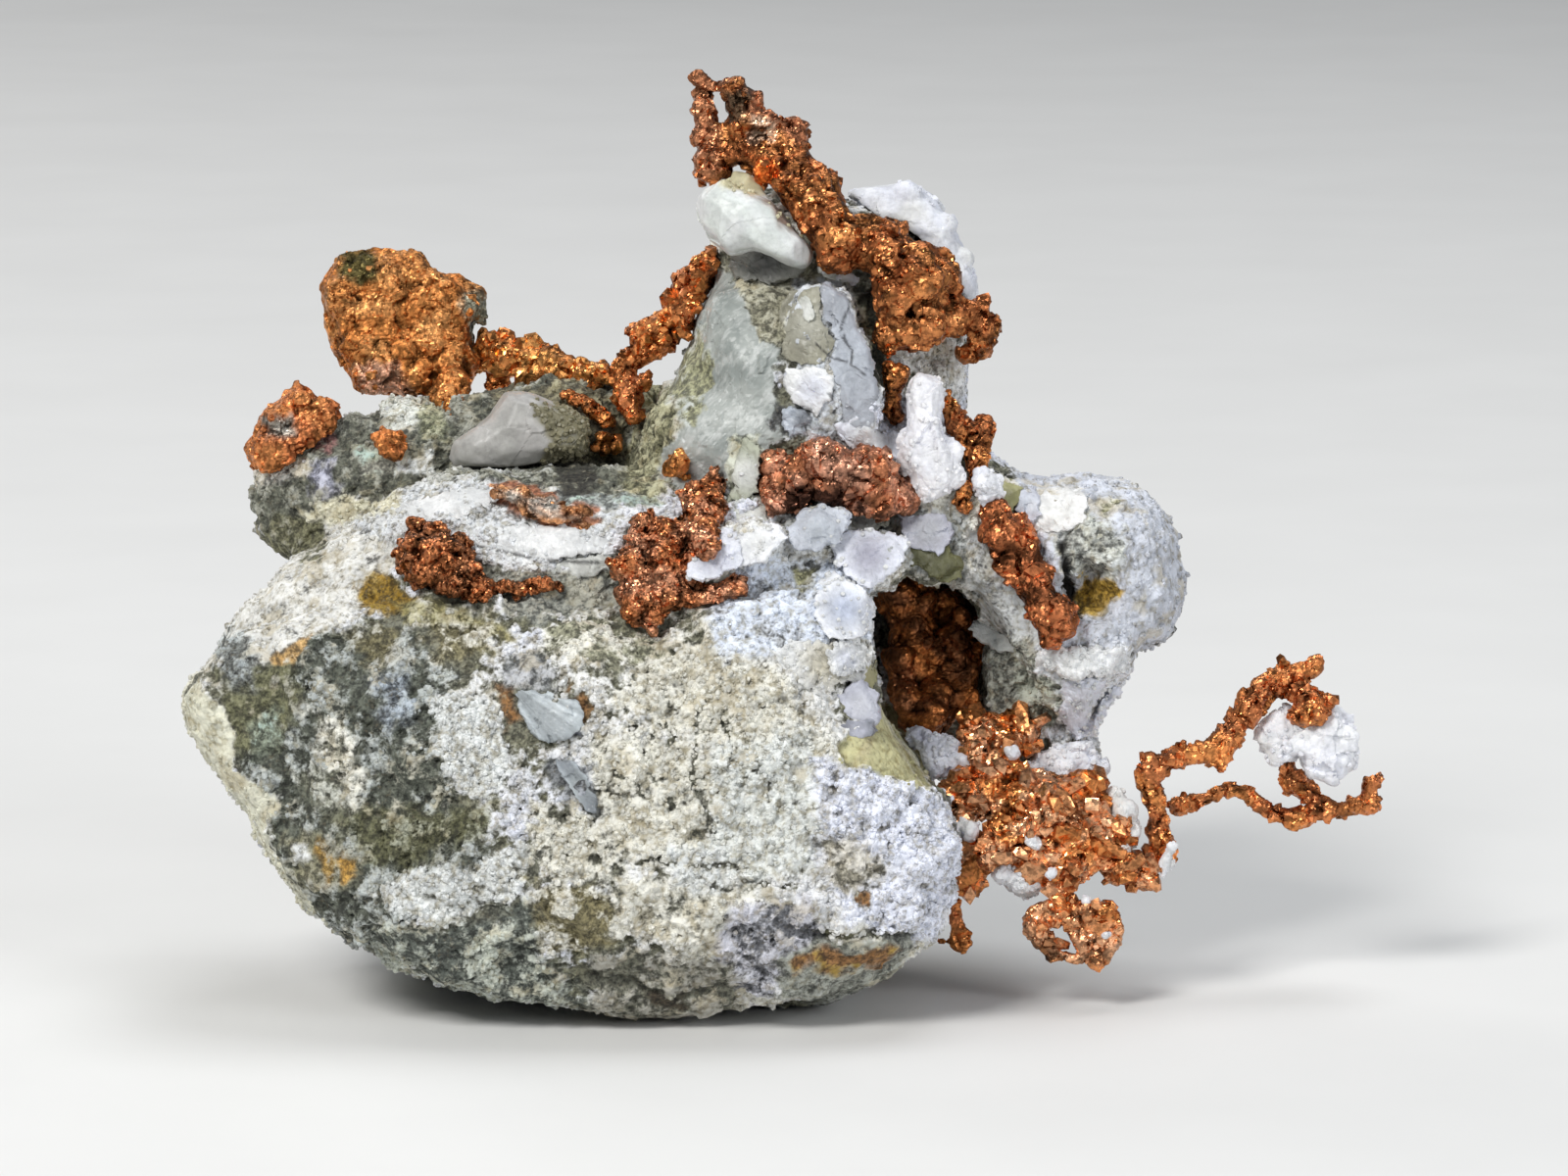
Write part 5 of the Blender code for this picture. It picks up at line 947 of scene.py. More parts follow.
def add_plate(bm, outline, proud, sink, lean, grain, flat_on, rays, seed):
    """Adds a plate with this outline and returns the across, up and ridge height of each of its vertices.

    It stands proud of the rock and sinks into it, in mm, and lean is how much further it stands out for
    each mm across and up from its middle. One that is flat on the rock follows it, any other only a little.
    Rays are ridges that fan out from a point."""
    blank = bmesh.new()
    rim = [blank.verts.new((a * MM, u * MM, -proud * MM)) for a, u in outline]
    top = blank.faces.new(rim)
    walls = bmesh.ops.extrude_face_region(blank, geom=[top])
    moved = [g for g in walls["geom"] if isinstance(g, bmesh.types.BMVert)]
    bmesh.ops.translate(blank, verts=moved, vec=(0, 0, (proud + sink) * MM))
    bmesh.ops.recalc_face_normals(blank, faces=blank.faces)
    plate = new_piece("blank", blank)
    fine_skin(plate, PLATE_VOXEL, PLATE_CALMING)
    spots, ways = skin_arrays(plate.data)
    a0, u0 = middle_of(outline)
    ragged = spots * (1, 1, 0) + (0, 0, seed)
    for k in (0, 1):
        spots[:, k] += 0.24 * cloud(ragged, 0.6, 3, seed + 3 * k)
    relief = grain * cauliflower(spots, 0.35, seed) + crystal_faces(spots, 1.1, 0.10, 0.04, seed)
    spots += ways * (relief + 0.08 * cloud(spots, 0.5, 3, seed))[:, None]
    ridges = np.zeros(len(spots))
    if rays:
        angles = np.arctan2(spots[:, 1] - rays[1], spots[:, 0] - rays[0])
        ridges = np.array([noise.fractal(Vector((9 * angle, 0.5, seed)), 1.0, 2.0, 3) for angle in angles])
        spots[:, 2] -= 0.15 * ridges
    # Share of the rock's relief that it follows, and how many mm at most
    follows, most = (1.0, 1.5) if flat_on else (0.4, 0.5)
    middle = rock_depth(a0, u0)
    for vertex, (a, u, d) in zip(plate.data.vertices, spots):
        behind = middle + min(max(follows * (rock_depth(a, u) - middle), -most), most)
        vertex.co = place(a, u, behind + d - lean[0] * (a - a0) - lean[1] * (u - u0))
    bm.from_mesh(plate.data)
    bpy.data.objects.remove(plate)
    return spots[:, 0], spots[:, 1], ridges


LILAC, MIST = (0.44, 0.45, 0.52), (0.56, 0.59, 0.65)
# Each plate: outline, proud, sink, lean, height of its grains, tint, and tint in its middle
PETALS = [
    ([(-3.5, 25.0), (-2.4, 25.2), (-1.8, 24.4), (-2.0, 23.3), (-3.2, 22.6), (-4.6, 22.6), (-4.7, 23.3),
      (-3.8, 23.9)], 0.9, 0.2, (0.0, -0.4), 0.02, FROST, LILAC),
    ([(-2.4, 25.1), (-1.7, 25.5), (-0.6, 25.4), (0.3, 25.2), (0.5, 24.6), (0.0, 24.1), (-0.5, 23.5),
      (-1.4, 23.3), (-2.2, 23.4), (-2.2, 24.2)], 0.7, 0.3, (0.1, -0.4), 0.03, (0.80, 0.81, 0.84), SNOW),
    ([(-3.0, 25.0), (-2.4, 26.1), (-1.3, 26.8), (-0.4, 26.8), (-0.5, 25.9), (-0.2, 25.3), (-1.6, 25.0)],
     0.4, 0.6, (0.0, -0.2), 0.02, (0.44, 0.455, 0.40), PEARL),
    ([(-2.5, 26.6), (-2.2, 28.4), (-1.9, 29.6), (-1.0, 29.5), (-0.8, 28.2), (-1.3, 27.0), (-1.9, 26.3)],
     0.5, 0.6, (0.3, -0.25), 0.02, (0.38, 0.40, 0.31), PEARL),
    ([(0.5, 24.9), (1.2, 26.1), (2.6, 26.4), (3.6, 26.0), (3.5, 25.0), (2.9, 24.3), (1.9, 24.0),
      (1.0, 24.3)], 0.4, 0.6, (0.0, -0.35), 0.05, MIST, (0.40, 0.43, 0.47)),
    ([(2.6, 24.6), (3.6, 25.0), (5.2, 25.0), (6.6, 24.5), (6.5, 23.6), (5.7, 22.9), (4.7, 22.2),
      (3.8, 22.5), (3.0, 23.4)], 0.6, 0.2, (0.0, -0.45), 0.03, FROST, (0.36, 0.36, 0.43)),
    ([(3.2, 26.2), (5.4, 26.4), (5.6, 25.3), (4.4, 24.7), (3.4, 25.0)], 0.4, 0.6, (0.0, -0.3), 0.04,
     (0.33, 0.33, 0.27), PEARL),
    ([(6.0, 25.8), (8.4, 26.0), (9.0, 24.9), (8.2, 24.0), (6.6, 24.2)], 0.6, 0.4, (0.0, -0.4), 0.02, LILAC,
     (0.36, 0.37, 0.40)),
    # A dark olive plate, darkened further as painted shade
    ([(6.5, 24.2), (8.2, 24.2), (9.4, 23.6), (9.3, 22.6), (8.3, 22.3), (7.6, 22.9), (6.7, 23.2)], 0.5, 0.1,
     (0.0, -0.3), 0.02, (0.13, 0.13, 0.055), (0.09, 0.09, 0.04)),
    ([(9.6, 20.1), (10.3, 20.35), (11.4, 19.9), (12.6, 19.3), (13.6, 18.6), (13.4, 18.1), (12.4, 18.5),
      (11.4, 18.9), (10.2, 19.4)], 0.35, 0.5, (0.0, 0.0), 0.02, (0.56, 0.58, 0.58), (0.50, 0.52, 0.51)),
]
CHEEK = [
    ([(2.0, 22.4), (2.9, 22.9), (3.9, 22.5), (4.6, 21.7), (4.9, 20.7), (4.6, 19.7), (3.5, 19.4),
      (2.5, 19.5), (1.9, 20.8)], 1.0, 0.9, (0.1, -0.1), 0.01, (0.82, 0.84, 0.89), (0.46, 0.50, 0.60)),
    ([(-0.3, 18.8), (1.0, 19.5), (2.4, 19.2), (3.4, 19.7), (4.6, 19.1), (4.4, 18.2), (4.2, 17.2),
      (3.0, 17.4), (2.2, 16.7), (0.8, 17.4)], 0.30, 1.0, (0.05, 0.0), 0.16, SNOW, (0.52, 0.49, 0.40)),
    ([(2.6, 18.9), (3.5, 19.3), (4.4, 18.8), (4.3, 17.9), (3.4, 17.6), (2.7, 18.1)], 0.75, 0.6, (0.0, 0.0),
     0.16, SNOW, FROST),
    ([(4.3, 18.9), (4.9, 18.4), (5.1, 17.3), (4.5, 16.8), (4.2, 17.8)], 0.4, 0.8, (0.3, 0.0), 0.01,
     (0.37, 0.36, 0.20), (0.42, 0.40, 0.24)),
]
PRISM = [
    ([(2.9, 16.6), (4.3, 17.4), (5.0, 16.8), (5.3, 15.6), (4.9, 14.9), (3.1, 15.1)], 0.7, 0.8, (0.2, 0.1),
     0.0, LILAC, (0.52, 0.53, 0.58)),
    ([(3.1, 15.2), (4.9, 15.3), (4.7, 14.5), (3.5, 14.4)], 0.3, 0.8, (0.0, 0.3), 0.0, (0.24, 0.25, 0.29),
     LILAC),
]
SLABS = [
    ([(2.3, 37.7), (3.5, 37.0), (3.9, 35.7), (4.7, 34.2), (5.3, 31.9), (4.8, 30.2), (3.3, 30.5),
      (3.0, 32.9), (2.5, 33.4), (3.1, 34.8), (2.2, 36.0)], 0.30, 0.9, (0.0, 0.0), 0.02, (0.37, 0.39, 0.43),
     (0.44, 0.47, 0.52)),
    ([(0.2, 36.5), (0.8, 37.2), (2.2, 37.6), (2.1, 36.0), (3.0, 34.7), (2.4, 33.5), (0.6, 33.5),
      (0.1, 34.6)], 0.22, 0.9, (0.0, 0.0), 0.03, (0.31, 0.30, 0.235), (0.36, 0.355, 0.30)),
    ([(1.0, 36.9), (1.5, 37.0), (1.9, 36.3), (1.7, 35.6), (1.1, 35.9)], 0.32, 0.9, (0.3, 0.0), 0.02,
     (0.46, 0.47, 0.43), PEARL),
    ([(0.38, 33.3), (0.38, 32.2), (1.43, 31.1), (2.2, 30.9), (2.6, 31.9), (2.88, 32.8), (2.2, 33.3)], 0.42,
     0.9, (0.0, 0.1), 0.03, SNOW, FROST),
    # A dark grey plate under the cap; its darker middle is painted shadow of the cap
    ([(-2.6, 39.4), (-1.2, 40.2), (0.6, 39.8), (1.6, 38.9), (0.9, 38.0), (-0.5, 37.6), (-2.2, 38.0)], 1.1,
     1.4, (0.0, 0.3), 0.03, (0.24, 0.24, 0.215), (0.10, 0.10, 0.095)),
    ([(0.2, 31.2), (0.9, 31.4), (1.9, 30.8), (2.6, 30.5), (2.4, 29.9), (0.6, 29.9)], 0.15, 0.8, (0.0, 0.0),
     0.10, (0.42, 0.46, 0.52), (0.16, 0.17, 0.19)),
    ([(2.7, 30.4), (3.9, 30.9), (5.2, 30.0), (6.2, 29.9), (6.6, 28.6), (5.0, 28.9), (3.6, 29.3)], 0.3, 1.0,
     (0.0, 0.0), 0.06, FROST, SNOW),
]
SHEETS = [
    ([(-15.6, 24.35), (-14.4, 25.2), (-11.9, 25.3), (-8.6, 25.0), (-8.4, 24.2), (-9.1, 23.85),
      (-10.3, 23.85), (-12.8, 23.0), (-14.8, 24.0)], 0.32, 0.8, (0.0, -0.06), 0.03, (0.62, 0.635, 0.64),
     SNOW),
    ([(-20.6, 25.6), (-18.0, 26.8), (-15.0, 27.4), (-13.8, 26.8), (-15.2, 26.1), (-18.0, 25.3),
      (-19.6, 24.9)], 0.24, 0.8, (0.0, -0.05), 0.03, (0.60, 0.61, 0.61), SNOW),
    ([(-9.6, 23.8), (-8.4, 24.0), (-8.6, 22.9), (-10.6, 22.6), (-12.2, 22.9), (-11.1, 23.2)], 0.14, 0.8,
     (0.0, 0.0), 0.05, (0.46, 0.48, 0.45), PEARL),
]
STEPS = [
    ([(13.2, 18.9), (15.0, 19.2), (17.6, 19.0), (17.9, 18.1), (16.4, 17.6), (14.6, 17.5), (13.3, 18.1)],
     0.80, 0.8, (0.0, -0.25), 0.14, (0.78, 0.79, 0.80), SNOW),
    ([(14.6, 17.4), (16.6, 17.5), (17.6, 16.8), (16.5, 15.9), (16.2, 14.6), (15.2, 14.4), (14.4, 15.8)],
     0.50, 0.8, (0.1, 0.0), 0.12, (0.70, 0.72, 0.80), (0.64, 0.66, 0.72)),
]
LOBE = [
    ([(12.6, 26.5), (14.0, 27.2), (15.8, 26.9), (15.6, 25.6), (14.6, 24.9), (13.0, 25.0)], 0.22, 0.8,
     (0.0, 0.0), 0.02, (0.72, 0.72, 0.71), (0.66, 0.66, 0.64)),
    ([(12.0, 27.3), (13.1, 27.2), (13.4, 26.0), (12.9, 25.2), (12.3, 25.8)], 0.45, 0.6, (0.1, 0.0), 0.01,
     (0.58, 0.60, 0.68), MIST),
    ([(11.4, 27.6), (12.2, 27.7), (12.4, 26.8), (12.0, 25.9), (11.5, 26.2)], 0.5, 0.6, (-0.1, 0.0), 0.01,
     (0.33, 0.32, 0.15), (0.26, 0.25, 0.12)),
]
FAN = [
    ([(-13.5, 16.8), (-12.6, 16.9), (-11.2, 16.6), (-10.2, 16.3), (-9.9, 15.2), (-10.4, 14.5),
      (-11.6, 14.2), (-12.9, 15.0)], 0.34, 0.7, (0.0, 0.0), 0.0, (0.40, 0.44, 0.46), (0.50, 0.54, 0.56)),
    ([(-11.4, 13.3), (-10.5, 13.3), (-9.7, 12.2), (-9.2, 10.6), (-9.9, 10.7), (-10.6, 11.8)], 0.28, 0.7,
     (0.0, 0.0), 0.0, (0.30, 0.33, 0.36), (0.40, 0.44, 0.46)),
]
# piece, finish, plates, whether they lie flat on the rock, the point that rays fan out from, and loose
# grains for each square mm
GROWTHS = [
    ("brow_petals", sugar, PETALS, False, None, 0.8),
    ("cheek_growths", sugar, CHEEK, True, None, 2.5),
    ("grey_prism", waxy, PRISM, False, None, 0),
    ("spire_slabs", waxy, SLABS, True, None, 0),
    ("shelf_sheets", waxy, SHEETS, True, None, 0),
    ("lobe_plates", waxy, LOBE, True, None, 0),
    ("lobe_steps", sugar, STEPS, True, None, 3),
    ("fan_crystals", waxy, FAN, True, (-14.2, 17.6), 0),
]
for number, (name, finish, plates, flat_on, rays, loose) in enumerate(GROWTHS):
    bm, tints = bmesh.new(), []
    for order, (outline, proud, sink, lean, grain, tint, middle) in enumerate(plates):
        seed = 10 * number + order
        across, up, ridges = add_plate(bm, outline, proud, sink, lean, grain, flat_on, rays, seed)
        a0, u0 = middle_of(outline)
        reach = np.hypot(across - a0, up - u0)
        colour = tinge(tint, middle, 1 - rise(reach, 0.1 * reach.max(), 0.75 * reach.max()))
        colour = colour * (1 + 0.6 * ridges)[:, None]
        # Painted shade darkens the plates along the cracks
        tints.append(colour * (1 - 0.8 * near_cracks(across, up)[0])[:, None])
    piece = new_piece(name, bm)
    tints = np.concatenate(tints) * (1 + 0.14 * cloud(skin_arrays(piece.data)[0], 0.8, 3, number))[:, None]
    if loose:
        dice = np.random.default_rng(500 + number)
        count = int(loose * area_of(piece))
        places, outward = scattered(piece.data, count, dice, rise(tints.mean(1), 0.45, 0.65))
        stud_piece(piece, places, outward, grain_sizes(dice, count, 0.06, 0.12), dice, sink=0.5)
        grains = SNOW * dice.uniform(0.88, 1.02, count)[:, None]
        tints = np.concatenate([tints, on_corners(grains)])
    set_attribute(piece.data, "tint", tints)
    piece.data.materials.append(finish)
    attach(piece, "root")
    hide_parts("matrix_rock")

# ---------------------------------------------------------------- native copper
# Branches, crusts and one broad plate of native copper, grown as countless small blunt crystals. Bare
# metal, bright on the crystals' faces and darker in the creases and hollows between them, partly with brown
# oxide and partly as painted shade.


def copper_finish(name, cell, tilt, soot, smooth, rough):
    """Bare copper: a mosaic of tiny faces of this size in mm, each tilted at random, with sooty tarnish."""
    finish, tree, shader = new_material(name)
    coords = add_node(tree, "TexCoord").outputs["Object"]
    tint = add_node(tree, "Attribute", attribute_name="tint").outputs["Color"]
    cells = cells_of(tree, coords, cell)
    random_way = {0: cells.outputs["Color"], 1: (0.5, 0.5, 0.5)}
    lean = add_node(tree, "VectorMath", random_way, operation="SUBTRACT")
    lean = add_node(tree, "VectorMath", {0: lean.outputs[0], "Scale": tilt}, operation="SCALE")
    normal = add_node(tree, "NewGeometry").outputs["Normal"]
    normal = add_node(tree, "VectorMath", {0: normal, 1: lean.outputs[0]}, operation="ADD")
    normal = add_node(tree, "VectorMath", {0: normal.outputs[0]}, operation="NORMALIZE")
    tree.links.new(normal.outputs[0], shader.inputs["Normal"])
    broad = ramp(tree, noise_of(tree, coords, 1.1, 4.0, 0.6), 0.40, 0.62, 0.70, 1.08)
    flecks = ramp(tree, noise_of(tree, coords, 0.30, 4.0, 0.65), 0.40, 0.56, 1 - soot, 1.05)
    metal = blend(tree, 1.0, tint, multiplied(tree, broad, flecks), "MULTIPLY")
    tree.links.new(metal, shader.inputs["Base Color"])
    shader.inputs["Metallic"].default_value = 1.0
    polish = channel_of(tree, cells.outputs["Color"], "Blue")
    tree.links.new(ramp(tree, polish, 0.1, 0.9, smooth, rough), shader.inputs["Roughness"])
    return finish


# name, size of its crystal faces in mm, their tilt, darkness of its flecks, and least and most roughness
FINISHES = {
    "bright": copper_finish("bright_copper", 0.24, 0.40, 0.45, 0.22, 0.50),
    "grainy": copper_finish("grainy_copper", 0.15, 0.75, 0.70, 0.22, 0.50),
    "matte": copper_finish("matte_copper", 0.15, 0.55, 0.50, 0.36, 0.60),
}

ORANGE, GOLD = np.array((0.86, 0.33, 0.105)), np.array((0.96, 0.45, 0.145))
RED, BROWN = np.array((0.66, 0.235, 0.09)), np.array((0.36, 0.145, 0.065))
ROSE = np.array((0.97, 0.52, 0.29))
# name: finish, main tint, second tint, share of dark tarnish, size of its knobs in mm and their height,
# slope of its faces, blunt crystals for each square mm, the largest one's radius, and how long they may be
# for their width
COPPER = {
    "crest_copper": ("bright", (0.67, 0.265, 0.09), (0.48, 0.165, 0.06), 0.32, 1.2, 0.09, 0.24, 0.35, 0.42,
                     1.6),
    "knob_copper": ("grainy", RED, ORANGE, 0.45, 1.0, 0.15, 0.20, 0.5, 0.36, 1.3),
    "stair_copper": ("bright", ORANGE, RED, 0.28, 1.1, 0.12, 0.30, 1.0, 0.50, 1.4),
    "paddle_copper": ("matte", (0.76, 0.295, 0.085), (0.80, 0.37, 0.13), 0.18, 1.0, 0.06, 0.14, 0.3, 0.34,
                      1.4),
    "bridge_copper": ("bright", ORANGE, GOLD, 0.28, 1.3, 0.10, 0.26, 0.9, 0.55, 1.4),
    "end_copper": ("matte", (0.78, 0.31, 0.11), RED, 0.22, 1.1, 0.10, 0.16, 0.5, 0.38, 1.4),
    "ledge_nugget": ("matte", ORANGE, RED, 0.25, 0.8, 0.12, 0.15, 0.6, 0.3, 1.3),
    "hollow_nugget": ("bright", ORANGE, GOLD, 0.25, 0.8, 0.12, 0.15, 0.6, 0.3, 1.3),
    "ledge_seam": ("grainy", ORANGE, RED, 0.40, 0.6, 0.10, 0.2, 0.8, 0.26, 1.5),
    "foil_copper": ("matte", (0.60, 0.27, 0.12), (0.72, 0.36, 0.17), 0.35, 0.7, 0.06, 0.16, 0.5, 0.22, 2.2),
    "outlier_copper": ("grainy", RED, BROWN, 0.55, 0.8, 0.20, 0.3, 1.0, 0.34, 1.4),
    "gate_flake": ("bright", ORANGE, GOLD, 0.15, 1.0, 0.06, 0.15, 0.3, 0.3, 1.4),
    "gate_copper": ("grainy", (0.80, 0.37, 0.21), RED, 0.42, 1.0, 0.16, 0.26, 0.9, 0.34, 1.4),
    "brow_copper": ("bright", (0.86, 0.43, 0.28), (0.60, 0.23, 0.11), 0.30, 1.6, 0.14, 0.26, 0.6, 0.42,
                    1.4),
    "side_copper": ("grainy", ORANGE, RED, 0.40, 0.9, 0.16, 0.25, 0.8, 0.38, 1.4),
    "chain_copper": ("bright", (0.82, 0.28, 0.11), (0.60, 0.20, 0.08), 0.34, 1.4, 0.08, 0.22, 0.3, 0.44,
                     1.4),
    "cave_copper": ("matte", (0.66, 0.235, 0.07), BROWN, 0.30, 1.3, 0.24, 0.08, 0.2, 0.5, 1.3),
    "spray_copper": ("bright", ROSE, ORANGE, 0.05, 1.1, 0.14, 0.38, 1.0, 0.62, 2.6),
    "ring_copper": ("bright", ROSE, ORANGE, 0.15, 1.4, 0.14, 0.30, 0.7, 0.48, 1.8),
    "hook_copper": ("bright", ORANGE, RED, 0.30, 0.8, 0.08, 0.2, 0.4, 0.26, 1.6),
    "upper_wire": ("bright", ORANGE, RED, 0.20, 1.2, 0.10, 0.26, 0.5, 0.36, 2.4),
    "lower_wire": ("bright", RED, ORANGE, 0.25, 1.2, 0.10, 0.26, 0.5, 0.34, 2.4),
}
# Lumps that grew on to a copper piece: across, up, depth (or laid on the rock) and radius in mm
LAID = None
KNOBS = {
    "crest_copper": [(-4.1, 48.0, 0.7, 0.5), (-3.85, 46.6, 0.5, 0.55), (-3.8, 45.1, 0.2, 0.6),
                     (-3.5, 43.6, -0.2, 0.8), (-2.3, 47.5, 0.1, 0.7), (-1.85, 46.85, -0.1, 0.8),
                     (-1.45, 46.0, -0.3, 0.7), (-0.45, 45.85, -0.3, 0.6), (0.9, 45.35, 0.0, 0.75),
                     (0.3, 44.6, -0.4, 0.85), (-0.7, 43.45, -1.0, 0.7), (0.9, 43.35, -1.3, 1.0),
                     (1.8, 42.1, -1.9, 1.1), (2.7, 40.85, -2.5, 1.1), (3.3, 40.1, -3.0, 0.9),
                     (2.8, 38.85, -3.0, 0.7), (5.05, 40.1, -1.8, 0.75), (6.05, 40.25, -1.4, 0.6),
                     (4.55, 39.35, -2.4, 0.75), (7.05, 37.85, -3.3, 1.5), (5.9, 38.85, -2.9, 0.85),
                     (6.05, 36.85, -3.6, 1.1), (6.8, 35.1, -3.0, 0.9), (7.8, 35.6, -2.9, 0.85),
                     (8.9, 35.6, -1.9, 0.7), (10.3, 36.35, -1.3, 0.5), (11.05, 35.35, -0.8, 0.5),
                     (10.55, 34.35, -0.7, 0.5), (9.55, 34.1, -0.9, 0.4)],
    "bridge_copper": [(-14.9, 34.1, 8.8, 0.7), (-15.3, 33.6, 9.0, 0.5), (-14.3, 34.4, 8.4, 0.6),
                      (-13.4, 33.9, 7.8, 0.8), (-12.2, 33.4, 6.8, 0.85), (-11.0, 33.1, 6.0, 0.9),
                      (-9.9, 32.6, 5.2, 0.85), (-14.2, 32.4, 8.2, 0.6)],
    "paddle_copper": [(-17.6, 32.5, 8.0, 0.9), (-16.9, 31.6, 7.8, 0.8), (-16.4, 33.0, 8.2, 0.9),
                      (-16.2, 36.4, 8.4, 0.7), (-15.3, 36.0, 8.6, 0.6), (-16.6, 32.4, 6.6, 1.0),
                      (-17.0, 31.7, 5.6, 0.9), (-16.4, 31.1, 4.6, 0.85), (-16.5, 30.4, 3.6, 0.6)],
    "brow_copper": [(-0.5, 27.9, LAID, 0.85), (-0.4, 26.3, LAID, 0.65), (2.4, 28.75, LAID, 1.15),
                    (1.6, 27.8, LAID, 0.9), (4.6, 28.2, LAID, 1.15), (4.8, 26.8, LAID, 0.95),
                    (6.4, 27.0, LAID, 0.9), (0.95, 26.7, LAID, 0.7), (3.4, 27.3, LAID, 0.8),
                    (0.9, 28.3, LAID, 0.7)],
    "chain_copper": [(12.0, 24.9, LAID, 1.15), (13.1, 22.6, LAID, 1.05), (14.2, 20.4, LAID, 1.25)],
    "ring_copper": [(15.6, 4.3, -2.6, 0.6), (15.2, 4.8, -2.6, 0.5), (15.9, 3.8, -2.5, 0.6)],
    "upper_wire": [(19.0, 13.2, -0.8, 0.5), (20.4, 13.6, -0.6, 0.5), (21.8, 13.9, -0.3, 0.55),
                   (22.9, 14.8, 0.0, 0.6), (23.5, 15.4, 0.2, 0.6), (24.6, 16.9, 0.5, 0.5),
                   (25.8, 17.5, 0.9, 0.5), (26.9, 16.6, 0.4, 0.7), (27.3, 15.9, 0.0, 0.75),
                   (26.7, 15.6, 0.2, 0.6), (27.9, 16.3, 0.3, 0.4)],
    "lower_wire": [(26.3, 12.2, 1.8, 0.7), (26.0, 12.9, 1.6, 0.5), (26.8, 11.7, 2.0, 0.5),
                   (30.5, 12.3, 1.8, 0.4)],
    "gate_flake": [(-5.0, 28.9, LAID, 0.42), (-5.4, 28.2, LAID, 0.5), (-4.8, 27.8, LAID, 0.4),
                   (-5.2, 28.6, LAID, 0.5)],
    "foil_copper": [
        (start + 0.24 * k, level - 0.05 * k, LAID, 0.17 + 0.09 * math.sin(2.3 * k))
        for start, level, count in (
            (-14.9, 27.3, 15), (-13.9, 26.9, 14), (-12.9, 26.4, 13), (-12.2, 25.8, 12))
        for k in range(count)
    ],
}
# How much stouter a branch is than its core, in mm
SWELL = {
    "crest_copper": 0.09, "bridge_copper": 0.13, "stair_copper": 0.08,
    "upper_wire": 0.09, "lower_wire": 0.05,
}
# Parts of a copper piece in another tint, some tarnished or coated and one a painted highlight:
# outline (across, up) and tint
PATCHES = {
    "paddle_copper": [([(-22.4, 39.4), (-20.5, 39.4), (-20.4, 38.0), (-21.2, 37.5), (-22.4, 38.0)],
                       (0.13, 0.105, 0.04)), ([(-16.2, 37.2), (-14.0, 37.0), (-14.0, 34.0), (-15.6, 34.2)],
                                              (0.40, 0.38, 0.28)), ([(-21.6, 33.6), (-19.4, 33.6),
                                                                     (-19.0, 32.0), (-21.0, 31.8)],
                                                                    (0.88, 0.50, 0.33))],
    "end_copper": [([(-26.3, 30.8), (-24.8, 30.9), (-24.7, 29.9), (-26.1, 29.8)], (0.52, 0.48, 0.42))],
    "foil_copper": [([(-14.4, 27.15), (-11.2, 26.5), (-11.3, 26.1), (-13.6, 26.6)], (0.60, 0.56, 0.50)),
                    ([(-12.6, 26.15), (-9.8, 25.6), (-10.0, 25.35), (-12.2, 25.75)], (0.60, 0.56, 0.50))],
    "brow_copper": [([(0.2, 27.2), (3.4, 27.3), (3.4, 26.0), (0.6, 25.8)], (0.10, 0.045, 0.03))],
    "chain_copper": [([(10.4, 24.3), (14.0, 24.4), (14.2, 23.5), (10.8, 23.2)], (0.20, 0.07, 0.03)),
                     ([(11.6, 22.0), (15.2, 22.1), (15.3, 21.4), (11.8, 21.1)], (0.20, 0.07, 0.03))],
    "crest_copper": [([(-4.9, 48.6), (-3.2, 48.6), (-2.9, 46.0), (-2.8, 43.0), (-4.6, 43.0)],
                      (0.54, 0.225, 0.11)), ([(-2.9, 48.2), (-0.6, 47.8), (1.8, 46.4), (1.8, 44.4),
                                              (-1.6, 46.4)], (0.50, 0.20, 0.10)), ([(-1.4, 44.1),
                                                                                    (-0.1, 44.1),
                                                                                    (0.0, 42.8),
                                                                                    (-1.3, 42.8)],
                                                                                   (0.90, 0.21, 0.045)),
                     ([(5.0, 36.6), (9.2, 36.6), (9.6, 34.0), (5.0, 33.8)], (0.62, 0.24, 0.085)),
                     ([(-2.9, 47.6), (-1.5, 47.6), (-1.6, 45.9), (-2.7, 45.8)], (0.16, 0.10, 0.06)),
                     # The crest's pale pink patch is a painted highlight
                     ([(-1.2, 46.2), (0.0, 45.9), (-0.2, 44.9), (-1.4, 45.0)], (0.98, 0.66, 0.46))],
}
COPPER_VOXEL, COPPER_CALMING, COPPER_SHRINK = 0.11, 4, 0.02  # mm, rounds of smoothing, mm


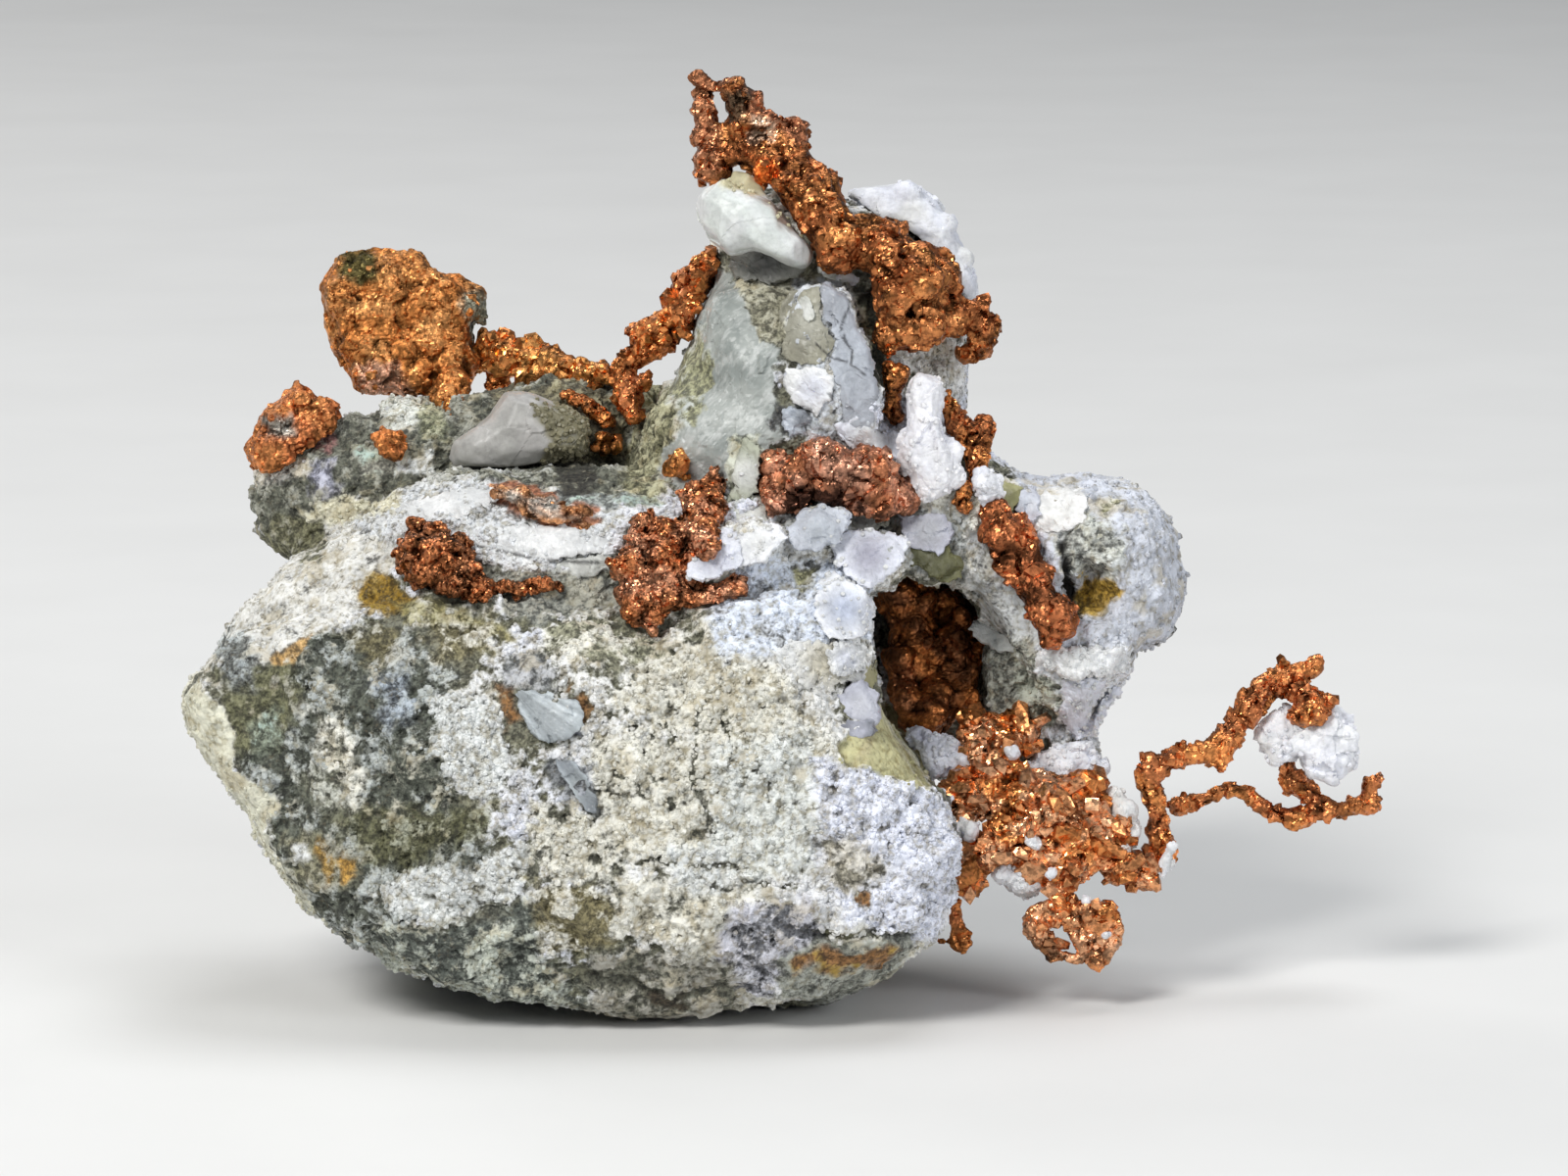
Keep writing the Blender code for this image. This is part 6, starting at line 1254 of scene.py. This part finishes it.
def copper_tints(spots, main, second, soot, seed, wander):
    """Patches of the two tints, darker where tarnish has spread."""
    share = np.clip(0.5 + 1.4 * cloud(spots, 1.5, 2, seed + 3) + wander, 0, 1)
    tarnish = 0.5 * cloud(spots, 1.0, 3, seed + 7) + 0.5 * wander
    dark = rise(tarnish, 0.25 - 0.5 * soot, 0.55 - 0.5 * soot)
    return tinge(main, second, share) * (1 - 0.65 * dark[:, None])


for number, (node, looks) in enumerate(COPPER.items()):
    kind, main, second, soot, size, knob, slope, density, most, length = looks
    dice = np.random.default_rng(900 + number)
    bm = merged_copy(node)
    add_buds(bm, KNOBS.get(node, ()), blocky=True)
    piece = new_piece(node.replace("_copper", "") + "_crystals", bm)
    fine_skin(piece, COPPER_VOXEL, COPPER_CALMING, COPPER_SHRINK - SWELL.get(node, 0.0))
    spots, ways = skin_arrays(piece.data)
    warped = spots + 0.35 * np.stack([cloud(spots, 1.2, 1, number + seed) for seed in (50, 60, 70)], 1)
    knobs = cauliflower(warped, size, number)
    height = knob * np.maximum(knobs, -0.8) + crystal_faces(warped, 0.4 + 0.3 * size, slope, 0.16, number)
    height += 0.5 * crystal_faces(spots, 0.3, slope, 0.2, number) - 0.10 * rise(-knobs, 0.1, 0.6)
    move_skin(piece.data, spots + ways * height[:, None])
    sunk = rise(hollows(piece, 40), 0.0, 0.16)
    count = int(area_of(piece) * density)
    places, outward = scattered(piece.data, count, dice)
    sizes = 0.3 * most + 0.7 * most * dice.beta(1.0, 2.0, count)
    stud_piece(piece, places, outward, sizes, dice, sink=0.8, squash=0.35, length=length)

    skin = copper_tints(spots, main, second, soot, number, 0)
    across, up, _ = face_places(spots)
    for outline, tint in PATCHES.get(node, ()):
        share = rise(inside_by(outline, across, up) + 0.35 * cloud(spots, 0.8, 3, number), -0.3, 0.3)
        skin = tinge(skin, tint, share)
    # Darker in the creases between knobs and in hollows: partly oxide, partly painted shade
    skin *= ((0.45 + 0.55 * rise(knobs, -0.7, 0.2)) * (1 - 0.8 * sunk))[:, None]
    studs = copper_tints(places / MM, main, second, soot, number, dice.normal(0, 0.12, count))
    studs = studs * dice.uniform(0.85, 1.10, count)[:, None]
    set_attribute(piece.data, "tint", np.clip(np.concatenate([skin, on_corners(studs)]), 0, 1))
    piece.data.materials.append(FINISHES[kind])
    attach(piece, "root")
    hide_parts(node)
